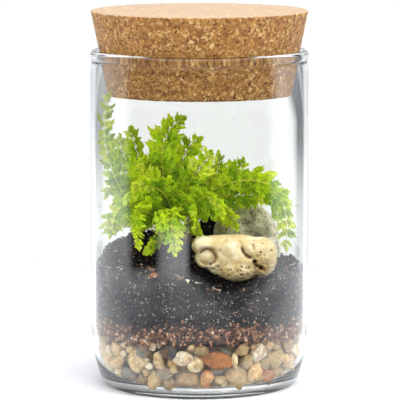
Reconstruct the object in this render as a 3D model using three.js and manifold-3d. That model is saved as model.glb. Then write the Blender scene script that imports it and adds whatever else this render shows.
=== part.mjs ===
// A closed glass terrarium: a straight glass jar with a tapered cork stopper, filled with a pebble drainage
// bed, a thin layer of bark chips and dark potting soil. A ruffled fern grows from its crown in the soil,
// in front of a grey rock and beside a cream, water-worn stone with eroded hollows.
// Millimetres, +Z up, front towards -Y. The origin is the centre of the jar's foot.
import * as THREE from "three";
import { mergeVertices } from "three/addons/utils/BufferGeometryUtils.js";
import Module from "manifold-3d";

const wasm = await Module();
wasm.setup();

// Driving dimensions
const SEGMENTS = 32; // sides of everything that is turned about the jar's axis
const GAP = 0.35; // clearance between pieces that touch
const SOCKET = 0.45; // how much larger the soil's sockets are than what stands in them
const JAR = { radius: 55, height: 170.4, mouth: 50.4, wall: 1.8 };
const BEAD = { out: 2.35, up: 2.6 }; // half sizes of the fire-polished rim's section
const CORK = { bottom: 148.5, top: 190.3, bottomRadius: 46.1, topRadius: 54.7, bevel: 0.7 };
const PEBBLE_TOP = 28; // mean heights of the layers
const BARK_TOP = 36.8;
const SOIL_TOP = 60.5;
const PEBBLE = { size: 5.8, rows: 3, perRow: 20 };
// splay is how much wider apart the stalks leave the crown than they point.
const CROWN = { x: -12, y: 1, z: 72, radius: 9, rootDepth: 11, rootTip: 3.4, rootNeck: 5.4, splay: 2 };
const ROCK = { x: 24.4, y: 13, z: 68.6, halfX: 18, halfY: 13, halfZ: 22 };
const STONE = { x: 17.2, y: -29.5, z: 69.4, halfX: 21.4, halfY: 10.5, halfZ: 12 };
const BLADE = 0.7; // thickness of a frond's blade
const RIB = 0.65; // half width of a frond's rib
const CLEAR = 1.7; // between the middles of blades of different fronds

// A repeatable source of numbers from 0 to 1.
function seeded(seed) {
  let state = seed;
  return () => {
    state = (state * 1664525 + 1013904223) % 4294967296;
    return state / 4294967296;
  };
}

// Solids and geometries
function toSolid(geometry) {
  const bare = geometry.index ? geometry.toNonIndexed() : geometry.clone();
  bare.deleteAttribute("normal");
  bare.deleteAttribute("uv");
  const merged = mergeVertices(bare, 1e-4);
  return new wasm.Manifold(
    new wasm.Mesh({
      numProp: 3,
      vertProperties: new Float32Array(merged.attributes.position.array),
      triVerts: new Uint32Array(merged.index.array),
    }),
  );
}

function toGeometry(solid) {
  const mesh = solid.getMesh();
  const geometry = new THREE.BufferGeometry();
  geometry.setAttribute("position", new THREE.BufferAttribute(new Float32Array(mesh.vertProperties), 3));
  geometry.setIndex(new THREE.BufferAttribute(new Uint32Array(mesh.triVerts), 1));
  return geometry.toNonIndexed();
}

function fromTriangles(points, triangles) {
  const geometry = new THREE.BufferGeometry();
  const flat = points.flatMap((p) => [p.x, p.y, p.z]);
  geometry.setAttribute("position", new THREE.BufferAttribute(new Float32Array(flat), 3));
  geometry.setIndex(triangles.flat());
  return geometry;
}

// The largest closed body of a solid, which drops loose scraps that a cut leaves.
function largestBody(solid) {
  return solid.decompose().sort((a, b) => b.volume() - a.volume())[0];
}

// A body from rows of rings, from the bottom pole to the top one. Each row gives [radius, height] at an
// angle.
function turned(rows, segments = SEGMENTS) {
  const points = [];
  const triangles = [];
  const last = rows.length - 1;
  rows.forEach((row, i) => {
    const count = i === 0 || i === last ? 1 : segments;
    for (let j = 0; j < count; j += 1) {
      const angle = (2 * Math.PI * j) / segments;
      const [radius, height] = row(angle);
      points.push(new THREE.Vector3(radius * Math.cos(angle), radius * Math.sin(angle), height));
    }
  });
  const at = (i, j) => {
    if (i === 0) return 0;
    if (i === last) return points.length - 1;
    return 1 + (i - 1) * segments + (j % segments);
  };
  for (let j = 0; j < segments; j += 1) {
    triangles.push([at(0, 0), at(1, j + 1), at(1, j)]);
    for (let i = 1; i < last - 1; i += 1) {
      triangles.push([at(i, j), at(i, j + 1), at(i + 1, j)]);
      triangles.push([at(i, j + 1), at(i + 1, j + 1), at(i + 1, j)]);
    }
    triangles.push([at(last - 1, j), at(last - 1, j + 1), at(last, 0)]);
  }
  return fromTriangles(points, triangles);
}

// An ellipsoid of stone with a few soft bumps, from waves whose phases are drawn from the seed. It leans
// about Y, then turns about Z.
function boulder({ at, half, seed, detail = 2, roughness = 0.03, lean = 0, turn = 0 }) {
  const draw = seeded(seed);
  const direction = () => new THREE.Vector3(draw() - 0.5, draw() - 0.5, draw() - 0.5).normalize();
  const waves = Array.from({ length: 5 }, () => ({
    along: direction().multiplyScalar(2 + 3 * draw()),
    phase: 2 * Math.PI * draw(),
  }));
  const geometry = mergeVertices(stripped(new THREE.IcosahedronGeometry(1, detail)), 1e-4);
  geometry.rotateX(2 * Math.PI * draw()).rotateZ(2 * Math.PI * draw());
  const position = geometry.attributes.position;
  const p = new THREE.Vector3();
  for (let i = 0; i < position.count; i += 1) {
    p.fromBufferAttribute(position, i);
    const bump = waves.reduce((sum, wave) => sum + Math.sin(p.dot(wave.along) + wave.phase), 0);
    p.multiplyScalar(1 + (roughness * bump) / waves.length).multiply(new THREE.Vector3(...half));
    position.setXYZ(i, p.x, p.y, p.z);
  }
  return geometry.rotateY(lean).rotateZ(turn).translate(...at);
}

function stripped(geometry) {
  geometry.deleteAttribute("normal");
  geometry.deleteAttribute("uv");
  return geometry;
}

// Jar. The outline runs up the outside from the foot's middle, over the rim and down the inside.
const INSIDE = [
  [0, 4.2],
  [38, 3.3],
  [44.5, 3.6],
  [48.6, 7.4],
  [51.3, 14],
  [52.6, 22],
  [JAR.radius - JAR.wall, 32],
  [JAR.radius - JAR.wall, 132],
  [52.4, 147],
  [51.4, 160],
];
const OUTSIDE = [
  [0, 1.3],
  [34, 1],
  [38.5, 0],
  [46.6, 0],
  [49.2, 1.6],
  [51.4, 7],
  [53.6, 15.5],
  [54.8, 24],
  [JAR.radius, 31],
  [JAR.radius, 160],
  [54.6, 164.2],
];

function jarGeometry() {
  const centre = { x: JAR.mouth + BEAD.out, z: JAR.height - BEAD.up };
  const bead = [-30, 30, 90, 150, 210].map((degrees) => {
    const angle = THREE.MathUtils.degToRad(degrees);
    return [centre.x + BEAD.out * Math.cos(angle), centre.z + BEAD.up * Math.sin(angle)];
  });
  const outline = [...OUTSIDE, ...bead, ...[...INSIDE].reverse()];
  const geometry = new THREE.LatheGeometry(
    outline.map(([radius, height]) => new THREE.Vector2(radius, height)),
    SEGMENTS,
  );
  geometry.rotateX(Math.PI / 2);
  return geometry;
}

// Inner radius of the glass at a height.
function glassRadius(height) {
  for (let i = 2; i < INSIDE.length; i += 1) {
    const [r0, z0] = INSIDE[i - 1];
    const [r1, z1] = INSIDE[i];
    if (height <= z1) return r0 + ((r1 - r0) * (height - z0)) / (z1 - z0);
  }
  return INSIDE.at(-1)[0];
}

// Cork stopper
function corkRadius(height) {
  const share = (height - CORK.bottom) / (CORK.top - CORK.bottom);
  return CORK.bottomRadius + share * (CORK.topRadius - CORK.bottomRadius);
}

function corkGeometry() {
  const { bottom, top, bevel } = CORK;
  return turned([
    () => [0, bottom],
    () => [corkRadius(bottom) - bevel, bottom],
    () => [corkRadius(bottom + bevel), bottom + bevel],
    () => [corkRadius(top - bevel), top - bevel],
    () => [corkRadius(top) - bevel, top],
    () => [0, top],
  ]);
}

// Heights of the layers. Each bounding surface is a formula, so that two layers share it with a gap between.
function pebbleTop(angle, radius) {
  const waves = 1.2 * Math.sin(3 * angle + 0.4) + 0.8 * Math.sin(7 * angle + 2);
  return PEBBLE_TOP + (radius / JAR.radius) * waves;
}

function barkTop(angle, radius) {
  const waves = 1.1 * Math.sin(4 * angle + 1.3) + 0.8 * Math.sin(9 * angle);
  return BARK_TOP + (radius / JAR.radius) * waves;
}

function hill(x, y, atX, atY, width) {
  return Math.exp(-((x - atX) ** 2 + (y - atY) ** 2) / (2 * width * width));
}

function soilTop(x, y) {
  const slope = 0.035 * y;
  const mound = 11.5 * hill(x, y, CROWN.x, CROWN.y, 17);
  const leftRise = 9 * hill(x, y, -33, 17, 13);
  const backRise = 17 * hill(x, y, 4, 30, 10);
  const frontDip = 7.5 * hill(x, y, 14, -50, 12);
  const lumps = 0.7 * Math.sin(0.55 * x + 1.1) * Math.cos(0.62 * y);
  const crumbs = 0.5 * Math.sin(0.9 * x + 1.3 * y);
  return SOIL_TOP + slope + mound + leftRise + backRise - frontDip + lumps + crumbs;
}

const atPolar = (surface) => (angle, radius) => surface(radius * Math.cos(angle), radius * Math.sin(angle));

// A layer between two surfaces, out to the glass. shares are radii of rings on the top and bottom faces, as
// parts of the rim's radius. dents are how far rings up the side stand back from the glass, drawn at random.
function layer(bottomAt, topAt, topShares, bottomShares = [0.6], dents = []) {
  const draw = seeded(17);
  const edge = JAR.radius - JAR.wall;
  const rim = (share, depth) => (angle) => {
    const low = bottomAt(angle, edge) + GAP;
    const height = low + share * (topAt(angle, edge) - low);
    return [glassRadius(height) - GAP - depth * draw(), height];
  };
  const inner = (surface, share, shift) => (angle) => {
    const radius = share * edge;
    return [radius, surface(angle, radius) + shift];
  };
  return turned([
    () => [0, bottomAt(0, 0) + GAP],
    ...bottomShares.map((share) => inner(bottomAt, share, GAP)),
    rim(0, 0),
    ...dents.map((depth, i) => rim((i + 1) / (dents.length + 1), depth)),
    rim(1, 0),
    ...topShares.map((share) => inner(topAt, share, 0)),
    () => [0, topAt(0, 0)],
  ]);
}

// Moves a pebble towards the axis until it only just clears the glass.
function pressedToGlass(geometry, angle) {
  const position = geometry.attributes.position;
  const flatSide = JAR.radius * (1 - Math.cos(Math.PI / SEGMENTS));
  let excess = -Infinity;
  for (let i = 0; i < position.count; i += 1) {
    const room = glassRadius(position.getZ(i)) - GAP - flatSide;
    excess = Math.max(excess, Math.hypot(position.getX(i), position.getY(i)) - room);
  }
  return geometry.translate(-excess * Math.cos(angle), -excess * Math.sin(angle), 0);
}

// Pebble bed: a core with pebbles standing out of it against the glass, in rows from the floor up.
const CORE = { depth: 3.6, sides: 16, floorRadius: 38, shoulder: 30, sink: 0.4, rimSink: 1.6 };

function pebbleCore() {
  const floor = INSIDE[0][1] + GAP;
  const side = (height) => glassRadius(height) - CORE.depth;
  return turned(
    [
      () => [0, floor],
      () => [CORE.floorRadius, floor],
      () => [side(9), 9],
      () => [side(18), 18],
      (angle) => [side(24), pebbleTop(angle, side(24)) - CORE.rimSink],
      (angle) => [CORE.shoulder, pebbleTop(angle, CORE.shoulder) - CORE.sink],
      () => [0, PEBBLE_TOP - CORE.sink],
    ],
    CORE.sides,
  );
}

function pebbleBed() {
  const draw = seeded(41);
  const pebbles = [];
  for (let row = 0; row < PEBBLE.rows; row += 1) {
    for (let k = 0; k < PEBBLE.perRow; k += 1) {
      const angle = (2 * Math.PI * (k + (row % 2) / 2 + 0.4 * (draw() - 0.5))) / PEBBLE.perRow;
      const size = PEBBLE.size * (0.84 + 0.3 * draw());
      const half = [0.85 * size, 1.25 * size, size * (0.74 + 0.2 * draw())];
      const lowest = INSIDE[2][1] + GAP + half[2];
      const highest = pebbleTop(angle, JAR.radius - PEBBLE.size) - half[2] - 0.2;
      const height = lowest + (row / (PEBBLE.rows - 1)) * (highest - lowest);
      const radius = glassRadius(height) - half[0];
      const at = [radius * Math.cos(angle), radius * Math.sin(angle), height];
      const seed = 100 + row * PEBBLE.perRow + k;
      const pebble = boulder({ at, half, seed, detail: 0, roughness: 0.06, turn: angle });
      pebbles.push(toSolid(pressedToGlass(pebble, angle)));
    }
  }
  return largestBody(pebbles.reduce((sum, pebble) => sum.add(pebble), toSolid(pebbleCore())));
}

// Cream stone: a long rounded body with a domed right end and a square left brow. Below the brow is a round
// hollow, in the middle a ridge runs down to a blunt foot, and right of it lies an almond-shaped hollow with
// a smooth lens in it, above a crack.
function creamStone() {
  const slant = THREE.MathUtils.degToRad(-38); // of the almond and its lens
  const lump = (at, half, seed, more = {}) => {
    const place = [STONE.x + at[0], STONE.y + at[1], STONE.z + at[2]];
    return toSolid(boulder({ at: place, half, seed, ...more }));
  };
  const added = [
    lump([12.8, -0.6, -0.4], [8.6, 8.6, 11], 8, { detail: 1 }),
    lump([-15.4, 0.6, 5.4], [6, 7.4, 5.2], 9, { detail: 1 }),
    lump([-6.4, 0.4, 5.4], [14.4, 7.6, 5.6], 18, { detail: 1 }),
    lump([-12.8, 0, -0.8], [7, 7.6, 5.7], 10, { detail: 1 }),
    lump([1.5, -3.6, -5.8], [10, 6.8, 6.4], 11),
    lump([-1.4, -2.4, 2.4], [8.2, 7, 8.6], 12, { detail: 1 }),
  ];
  const body = lump([2.4, 0.6, -0.6], [18, 10, 11.6], 7, { detail: 3, roughness: 0.04 });
  const socket = lump([-13.9, -9.4, 0.2], [7.1, 6.6, 6.6], 13);
  const filling = lump([-13.1, -0.4, 0.4], [5.6, 5.8, 5.3], 14, { detail: 1 });
  const almond = lump([6.1, -10.8, 3.8], [3.5, 4.8, 6.3], 15, { lean: slant });
  const lens = lump([7.1, -5.2, 4.5], [2.5, 4.1, 5.3], 16, { detail: 1, lean: slant });
  const crack = lump([12.8, -9.4, -4.4], [5.8, 4.6, 1.4], 17, { detail: 0, lean: 0.6 });
  const crackHead = lump([10.2, -9.2, -2.2], [1.3, 4, 2.8], 19, { detail: 0, lean: -0.3 });
  return largestBody(
    added
      .reduce((sum, one) => sum.add(one), body)
      .subtract(socket)
      .add(filling)
      .subtract(almond)
      .add(lens)
      .subtract(crack)
      .subtract(crackHead),
  );
}

const rockShape = (grow) =>
  boulder({
    at: [ROCK.x, ROCK.y, ROCK.z],
    half: [ROCK.halfX + grow, ROCK.halfY + grow, ROCK.halfZ + grow],
    seed: 23,
    roughness: 0.1,
    turn: 0.25,
  });

// A pebble sunk a little into the soil's surface.
function soilPebble({ x, y, half, seed }, grow) {
  const at = [x, y, soilTop(x, y) + 0.7 * half[2]];
  return boulder({ at, half: half.map((size) => size + grow), seed, detail: 0 });
}

// Fern crown: a knob of old leaf bases on a plug of roots that stands in a plain hole in the soil.
function crownShape(grow) {
  const { x, y, z, radius, rootDepth, rootTip, rootNeck } = CROWN;
  const knob = new THREE.IcosahedronGeometry(radius + grow, 1).translate(x, y, z);
  const outline = [
    () => [0, z - rootDepth - grow],
    () => [rootTip + grow, z - rootDepth + 2 - grow],
    () => [rootNeck + grow, z - 3],
    () => [0, z],
  ];
  const roots = turned(outline, 12).translate(x, y, 0);
  return toSolid(knob).add(toSolid(roots));
}

// Fronds. Each rib is one curve from the crown through low and high, a third and two thirds of the way along,
// to its tip. The numbers after the points are the longest leaflet, the pairs of leaflets and the way that
// the upper face looks, in degrees round from the front.
const FRONDS = [
  ["wall_climber", [-35, -3, 92], [-46, -7, 117], [-44.5, -17, 149], 6.5, 9, 0],
  ["main_upright", [-17, -8, 97], [-18.5, -12, 120], [-9.5, -9, 137], 10, 9, 0],
  ["left_upright", [-21, -6, 93], [-28, -8, 110], [-34, -6, 130], 9, 7, 20],
  ["centre_front", [-8, -12, 98], [-1, -18, 111], [5, -16, 119], 9, 7, 0],
  ["upper_right", [-11, -3, 99], [-8, -4, 116], [-1, -3, 125], 9, 7, 15],
  ["middle_right", [-4, 3, 91], [6, 5, 103], [10, 6, 116], 7, 7, -25],
  ["right_upright", [0, 8, 91], [14, 12, 103], [22, 12, 112], 8, 7, 20],
  ["right_arch", [3, -4, 97], [31, -6, 104], [43.5, -8, 71], 8, 9, -35],
  ["right_spray", [5, 3, 93], [27, 5, 96], [42, 2, 97], 8, 8, -30],
  ["front_hanging", [-10, -18, 92], [-4, -27, 96], [-3, -31, 84], 6, 6, 165],
  ["stone_sweep", [-1, -8, 91], [10, -14, 91], [18, -17, 83], 8, 7, 160],
  ["front_centre", [-4, -14, 90], [3, -25, 99], [11, -29, 91], 8, 6, 165],
  ["front_left_low", [-22, -15, 87], [-30.5, -28, 91], [-30, -37, 77], 9, 7, 195],
  ["front_left_high", [-16, -13, 96], [-25, -25, 104], [-35, -31, 99], 9, 6, 200],
  ["front_curtain", [-15, -17, 87], [-15, -31, 90], [-12, -40, 74], 8, 7, 180],
  ["centre_left", [-20, -12, 97], [-27, -19, 108], [-33, -18, 116], 9, 6, 0],
  ["left_low", [-25, -10, 86], [-36, -18, 93], [-42, -23, 83], 8, 7, 215],
  ["left_spray", [-26, 3, 90], [-38, 3, 101], [-47, 1, 97], 8, 6, 35],
  ["second_upright", [-24, 2, 95], [-35, 3, 111], [-40, 1, 125], 8, 6, -10],
  ["left_wall_low", [-25, -4, 82], [-38, -5, 87], [-45, -8, 78], 7, 6, 40],
  ["left_back_arch", [-23, 9, 91], [-37, 18, 98], [-42, 24, 84], 8, 6, 60],
  ["right_back_arch", [4, 15, 92], [29, 21, 100], [40, 21, 76], 8, 8, -55],
  ["back_upright", [-14, 10, 95], [-17, 18, 110], [-19, 25, 118], 8, 6, 20],
  ["back_middle", [-11, 15, 91], [-8, 30, 103], [-5, 43, 90], 9, 6, 0],
  ["back_right", [-8, 16, 86], [3, 30, 94], [10, 42, 81], 8, 6, -20],
  ["back_left", [-19, 14, 89], [-28, 28, 101], [-31, 36, 90], 8, 6, 30],
  ["front_short", [-18, -9, 73], [-23, -17, 75], [-26, -25, 71], 6, 5, 175],
  ["front_right_short", [-6, -7, 79], [-3, -15, 84], [1, -20, 79], 6, 5, 150],
].map(([name, low, high, tip, reach, pairs, look]) => ({ name, low, high, tip, reach, pairs, look }));
const BARE = 0.25; // share of a rib that is stalk
const STALK_STEPS = 3;
const RIB_END = 2; // how far a rib's point reaches past its last leaflets
const RIB_TAPER = 0.35; // share of its width that a rib loses towards the tip
const DROOP = 0.15; // of a leaflet's tip, as a share of its length
const WAVE = 0.06; // height of a leaflet's waved edge, as a share of its length

// The cubic curve from the crown's surface through low and high to the tip.
function ribOf({ low, high, tip }) {
  const [first, second, end] = [low, high, tip].map((p) => new THREE.Vector3(...p));
  const centre = new THREE.Vector3(CROWN.x, CROWN.y, CROWN.z);
  const outwards = first.clone().sub(centre).multiply(new THREE.Vector3(CROWN.splay, CROWN.splay, 1));
  const start = outwards.setLength(CROWN.radius + GAP).add(centre);
  const mix = (a, b, c, d) =>
    new THREE.Vector3()
      .addScaledVector(start, a / 6)
      .addScaledVector(first, b / 6)
      .addScaledVector(second, c / 6)
      .addScaledVector(end, d / 6);
  return new THREE.CubicBezierCurve3(start, mix(-5, 18, -9, 2), mix(2, -9, 18, -5), end);
}

// Shares of a rib's length at which its stations lie: a few on the stalk, then one between leaflet pairs.
function stationShares({ pairs }) {
  const stalk = Array.from({ length: STALK_STEPS }, (_, k) => (BARE * k) / STALK_STEPS);
  const blade = Array.from({ length: pairs + 1 }, (_, k) => BARE + ((1 - BARE) * k) / pairs);
  return [...stalk, ...blade];
}

// Place, direction, upward and sideways normals along a rib. The upper face is carried along without twist.
function framesAlong(rib, shares, look) {
  const turn = THREE.MathUtils.degToRad(look);
  let up = new THREE.Vector3(Math.sin(turn), -Math.cos(turn), 0);
  return shares.map((share) => {
    const along = rib.getTangentAt(share);
    up = up.clone().addScaledVector(along, -up.dot(along)).normalize();
    return { at: rib.getPointAt(share), along, up, side: new THREE.Vector3().crossVectors(along, up) };
  });
}

// Length of the leaflet at a share of the blade: long from the start, and short only near the tip.
function leafletLength(reach, share) {
  return reach * Math.min(1, 0.6 + 1.6 * share) * Math.sqrt(1 - share ** 2.4);
}

// The free points of a leaflet from its near side round the tip to its far side, as shares of its length
// outwards and of its width along the rib: a waist, a lobe, the tip, a lobe and a waist.
const LOBES = [
  [0.4, -0.22],
  [0.74, -0.46],
  [1, 0],
  [0.8, 0.46],
  [0.44, 0.22],
];
const TILTS = [0, 0.35, -0.35, 0.7, -0.7, 1.05, -1.05];
const SHRINKS = [1, 0.8, 0.6, 0.4];

// A leaflet turned about the rib by tilt, swept towards the frond's tip, drooping and waved along its edge.
function leafletPoints(frame, width, hand, length, tilt, sweep) {
  const out = frame.side.clone().multiplyScalar(hand * Math.cos(tilt));
  out.addScaledVector(frame.up, Math.sin(tilt));
  const normal = new THREE.Vector3().crossVectors(frame.along, out).multiplyScalar(-hand);
  const points = LOBES.map(([outwards, along], i) =>
    frame.at
      .clone()
      .addScaledVector(out, outwards * length)
      .addScaledVector(frame.along, along * width + sweep * outwards * outwards * length)
      .addScaledVector(normal, length * (WAVE * (i % 2 ? 1 : -1) - DROOP * outwards * outwards)),
  );
  return { points, normal };
}

// Points of the fronds so far, by cells of space, so that a new leaflet can keep clear of other fronds.
const taken = new Map();
const cellOf = (p, dx = 0, dy = 0, dz = 0) =>
  [Math.floor(p.x / CLEAR) + dx, Math.floor(p.y / CLEAR) + dy, Math.floor(p.z / CLEAR) + dz].join();

function take(owner, point) {
  const cell = cellOf(point);
  if (!taken.has(cell)) taken.set(cell, []);
  taken.get(cell).push({ owner, point });
}

function nearOther(p, owner) {
  const steps = [-1, 0, 1];
  return steps.some((dx) =>
    steps.some((dy) =>
      steps.some((dz) =>
        (taken.get(cellOf(p, dx, dy, dz)) ?? []).some(
          (other) => other.owner !== owner && other.point.distanceTo(p) < CLEAR,
        ),
      ),
    ),
  );
}

function insideLump(p, lump, margin) {
  const x = (p.x - lump.x) / (lump.halfX + margin);
  const y = (p.y - lump.y) / (lump.halfY + margin);
  const z = (p.z - lump.z) / (lump.halfZ + margin);
  return x * x + y * y + z * z < 1;
}

// How far the middle of a blade keeps from each neighbour.
const KEEP = { glass: 1, cork: 0.9, soil: 1.2, rock: 2.6, stone: 2 };

function hasRoom(p, owner) {
  const radius = Math.hypot(p.x, p.y);
  if (radius > glassRadius(p.z) - KEEP.glass) return false;
  if (p.z > CORK.bottom - 1 && radius < corkRadius(p.z) + KEEP.cork) return false;
  if (p.z < soilTop(p.x, p.y) + KEEP.soil) return false;
  if (insideLump(p, ROCK, KEEP.rock) || insideLump(p, STONE, KEEP.stone)) return false;
  return !nearOther(p, owner);
}

// Points spread over a leaflet between its near and its far edge.
function spread(near, far) {
  const along = (edge, share) => {
    const step = Math.min(Math.floor(share * (edge.length - 1)), edge.length - 2);
    return edge[step].clone().lerp(edge[step + 1], share * (edge.length - 1) - step);
  };
  const found = [];
  for (let i = 1; i <= 9; i += 1) {
    for (let j = 0; j <= 3; j += 1) found.push(along(near, i / 9).lerp(along(far, i / 9), j / 3));
  }
  return found;
}

// Takes the longest leaflet that has room, at the smallest tilt. null leaves the rib bare there.
function fitLeaflet(frame, width, hand, length, sweep, roots, owner) {
  for (const shrink of SHRINKS) {
    for (const tilt of TILTS) {
      const leaflet = leafletPoints(frame, width, hand, length * shrink, tilt - 0.1, sweep);
      const [nearWaist, nearLobe, tip, farLobe, farWaist] = leaflet.points;
      const samples = spread([roots[0], nearWaist, nearLobe, tip], [roots[1], farWaist, farLobe, tip]);
      if (samples.every((p) => hasRoom(p, owner))) {
        samples.forEach((p) => take(owner, p));
        return leaflet;
      }
    }
  }
  return null;
}

// A frond: one thin blade cut to the rib into lobed leaflets, on a bare stalk.
function frondGeometry(frond, rib) {
  const shares = stationShares(frond);
  const frames = framesAlong(rib, shares, frond.look);
  const points = [];
  const triangles = [];
  // Each point of the blade is a pair, one on its upper and one on its lower face.
  const add = (p, normal) => {
    points.push(p.clone().addScaledVector(normal, BLADE / 2), p.clone().addScaledVector(normal, -BLADE / 2));
    return points.length / 2 - 1;
  };
  const push = (triangle, hand) => triangles.push(hand > 0 ? triangle : triangle.reverse());
  const face = (a, b, c, hand) => {
    push([2 * a, 2 * b, 2 * c], hand);
    push([2 * a + 1, 2 * c + 1, 2 * b + 1], hand);
  };
  const edge = (a, b, hand) => {
    push([2 * a, 2 * a + 1, 2 * b + 1], hand);
    push([2 * a, 2 * b + 1, 2 * b], hand);
  };
  const onSide = (k, hand) =>
    frames[k].at.clone().addScaledVector(frames[k].side, hand * RIB * (1 - RIB_TAPER * shares[k]));
  const right = shares.map((_, k) => add(onSide(k, 1), frames[k].up));
  const left = shares.map((_, k) => add(onSide(k, -1), frames[k].up));
  for (let k = 0; k < shares.length - 1; k += 1) {
    face(left[k], right[k], right[k + 1], 1);
    face(left[k], right[k + 1], left[k + 1], 1);
    const bladeShare = (k + 0.5 - STALK_STEPS) / frond.pairs;
    for (const hand of [1, -1]) {
      const row = hand > 0 ? right : left;
      const [near, far] = [row[k], row[k + 1]];
      const roots = [onSide(k, hand), onSide(k + 1, hand)];
      const frame = { ...frames[k], at: roots[0].clone().lerp(roots[1], 0.5) };
      const leaflet =
        bladeShare > 0 &&
        fitLeaflet(
          frame,
          roots[0].distanceTo(roots[1]),
          hand,
          leafletLength(frond.reach, bladeShare),
          0.15 + 0.5 * bladeShare,
          roots,
          frond.name,
        );
      if (!leaflet) {
        edge(near, far, hand);
        continue;
      }
      const [nearWaist, nearLobe, tip, farLobe, farWaist] = leaflet.points.map((p) => add(p, leaflet.normal));
      face(near, nearWaist, farWaist, hand);
      face(near, farWaist, far, hand);
      face(nearWaist, nearLobe, farLobe, hand);
      face(nearWaist, farLobe, farWaist, hand);
      face(nearLobe, tip, farLobe, hand);
      const rim = [near, nearWaist, nearLobe, tip, farLobe, farWaist, far];
      rim.slice(1).forEach((to, i) => edge(rim[i], to, hand));
    }
  }
  const end = frames.at(-1);
  const tip = add(end.at.clone().addScaledVector(end.along, RIB_END), end.up);
  edge(left[0], right[0], 1);
  face(left.at(-1), right.at(-1), tip, 1);
  edge(right.at(-1), tip, 1);
  edge(tip, left.at(-1), 1);
  return fromTriangles(points, triangles);
}

// Assembly
const terrarium = new THREE.Group();

function place(name, geometry, colour, roughness, extra = {}) {
  const material = new THREE.MeshStandardMaterial({ color: colour, roughness, metalness: 0, ...extra });
  const mesh = new THREE.Mesh(geometry, material);
  mesh.name = name;
  terrarium.add(mesh);
}

const rock = toSolid(rockShape(0));
const stone = creamStone();
const crown = crownShape(0);
const brownPebble = { x: -22.5, y: -38.5, half: [3, 2.4, 2.1], seed: 61 };
const whitePebble = { x: -6, y: -44.5, half: [2.3, 1.9, 1.6], seed: 62 };

// The soil is cut clear of what stands in it, by the same shapes a little larger.
const stoneGrowth = [STONE.halfX, STONE.halfY, STONE.halfZ].map((half) => 1 + SOCKET / half);
const grownStone = stone
  .translate([-STONE.x, -STONE.y, -STONE.z])
  .scale(stoneGrowth)
  .translate([STONE.x, STONE.y, STONE.z]);
const barkBase = (angle, radius) => pebbleTop(angle, radius) + GAP;
const soil = largestBody(
  toSolid(layer(barkTop, atPolar(soilTop), [0.9, 0.76, 0.6, 0.44, 0.28, 0.14]))
    .subtract(toSolid(rockShape(SOCKET)))
    .subtract(grownStone)
    .subtract(crownShape(SOCKET))
    .subtract(toSolid(soilPebble(brownPebble, SOCKET)))
    .subtract(toSolid(soilPebble(whitePebble, SOCKET))),
);

place("glass_jar", jarGeometry(), 0xdfe9e6, 0.04, { transparent: true, opacity: 0.3 });
place("cork_stopper", corkGeometry(), 0xc79a63, 0.85);
place("pebble_bed", toGeometry(pebbleBed()), 0xb59d78, 0.6);
place("bark_layer", layer(barkBase, barkTop, [0.75, 0.4], [0.6], [1.6, 1.6]), 0x7a4a33, 0.9);
place("potting_soil", toGeometry(soil), 0x2b2523, 0.95);
place("grey_rock", toGeometry(rock), 0x6f6a55, 0.85);
place("cream_stone", toGeometry(stone), 0xe2cf9c, 0.55);
place("fern_crown", toGeometry(crown), 0x4b3a24, 0.9);
place("brown_soil_pebble", soilPebble(brownPebble, 0), 0x8d5433, 0.7);
place("white_soil_pebble", soilPebble(whitePebble, 0), 0xe6dccb, 0.7);

// Every rib is entered first, so that no leaflet grows across another frond's rib.
const ribs = FRONDS.map(ribOf);
FRONDS.forEach(({ name }, i) => {
  const count = Math.ceil(ribs[i].getLength());
  for (let k = 3; k <= count; k += 1) take(name, ribs[i].getPointAt(k / count));
});
FRONDS.forEach((frond, i) => place("frond_" + frond.name, frondGeometry(frond, ribs[i]), 0x6fa61f, 0.55));

export default terrarium;
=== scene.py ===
# A closed glass terrarium: a jar with a tapered cork, river pebbles, bark and soil, a ruffled fern, a grey
# rock and a cream water-worn stone. Metres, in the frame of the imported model: +Z up, front towards -Y.
import math
import random

import bpy
from mathutils import Matrix, Vector


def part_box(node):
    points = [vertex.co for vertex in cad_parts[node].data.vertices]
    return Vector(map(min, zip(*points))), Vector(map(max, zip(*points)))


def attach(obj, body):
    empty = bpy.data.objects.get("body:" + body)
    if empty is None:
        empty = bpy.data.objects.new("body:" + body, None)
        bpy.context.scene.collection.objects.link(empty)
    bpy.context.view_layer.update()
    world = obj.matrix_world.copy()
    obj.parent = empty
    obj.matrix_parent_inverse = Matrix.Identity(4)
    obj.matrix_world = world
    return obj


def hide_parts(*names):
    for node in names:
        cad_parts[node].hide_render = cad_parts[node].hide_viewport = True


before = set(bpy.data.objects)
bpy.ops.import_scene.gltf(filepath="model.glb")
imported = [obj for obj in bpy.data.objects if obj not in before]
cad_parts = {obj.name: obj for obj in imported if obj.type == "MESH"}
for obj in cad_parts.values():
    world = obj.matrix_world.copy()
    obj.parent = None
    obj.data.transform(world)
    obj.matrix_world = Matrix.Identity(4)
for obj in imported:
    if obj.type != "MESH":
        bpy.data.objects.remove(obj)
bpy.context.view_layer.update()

MM = 0.001

# Driving dimensions, as in the solids
JAR_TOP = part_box("glass_jar")[1].z
JAR_RADIUS = 55 * MM
MOUTH_RADIUS = 50.4 * MM
WALL = 1.8 * MM
BEAD_OUT = 2.35 * MM
BEAD_UP = 2.6 * MM
CORK_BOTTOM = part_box("cork_stopper")[0].z
CORK_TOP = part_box("cork_stopper")[1].z
CORK_BOTTOM_RADIUS = 46.1 * MM
CORK_TOP_RADIUS = 54.7 * MM
PEBBLE_TOP = 28 * MM
BARK_TOP = 36.8 * MM
SOIL_TOP = 60.5 * MM
CROWN = Vector((-12, 1, 72)) * MM
CROWN_RADIUS = 9 * MM
ROCK = Vector((24.4, 13, 68.6)) * MM
ROCK_HALF = Vector((18, 13, 22)) * MM
STONE = Vector((17.2, -29.5, 69.4)) * MM
STONE_HALF = Vector((21.4, 10.5, 12)) * MM

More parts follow.
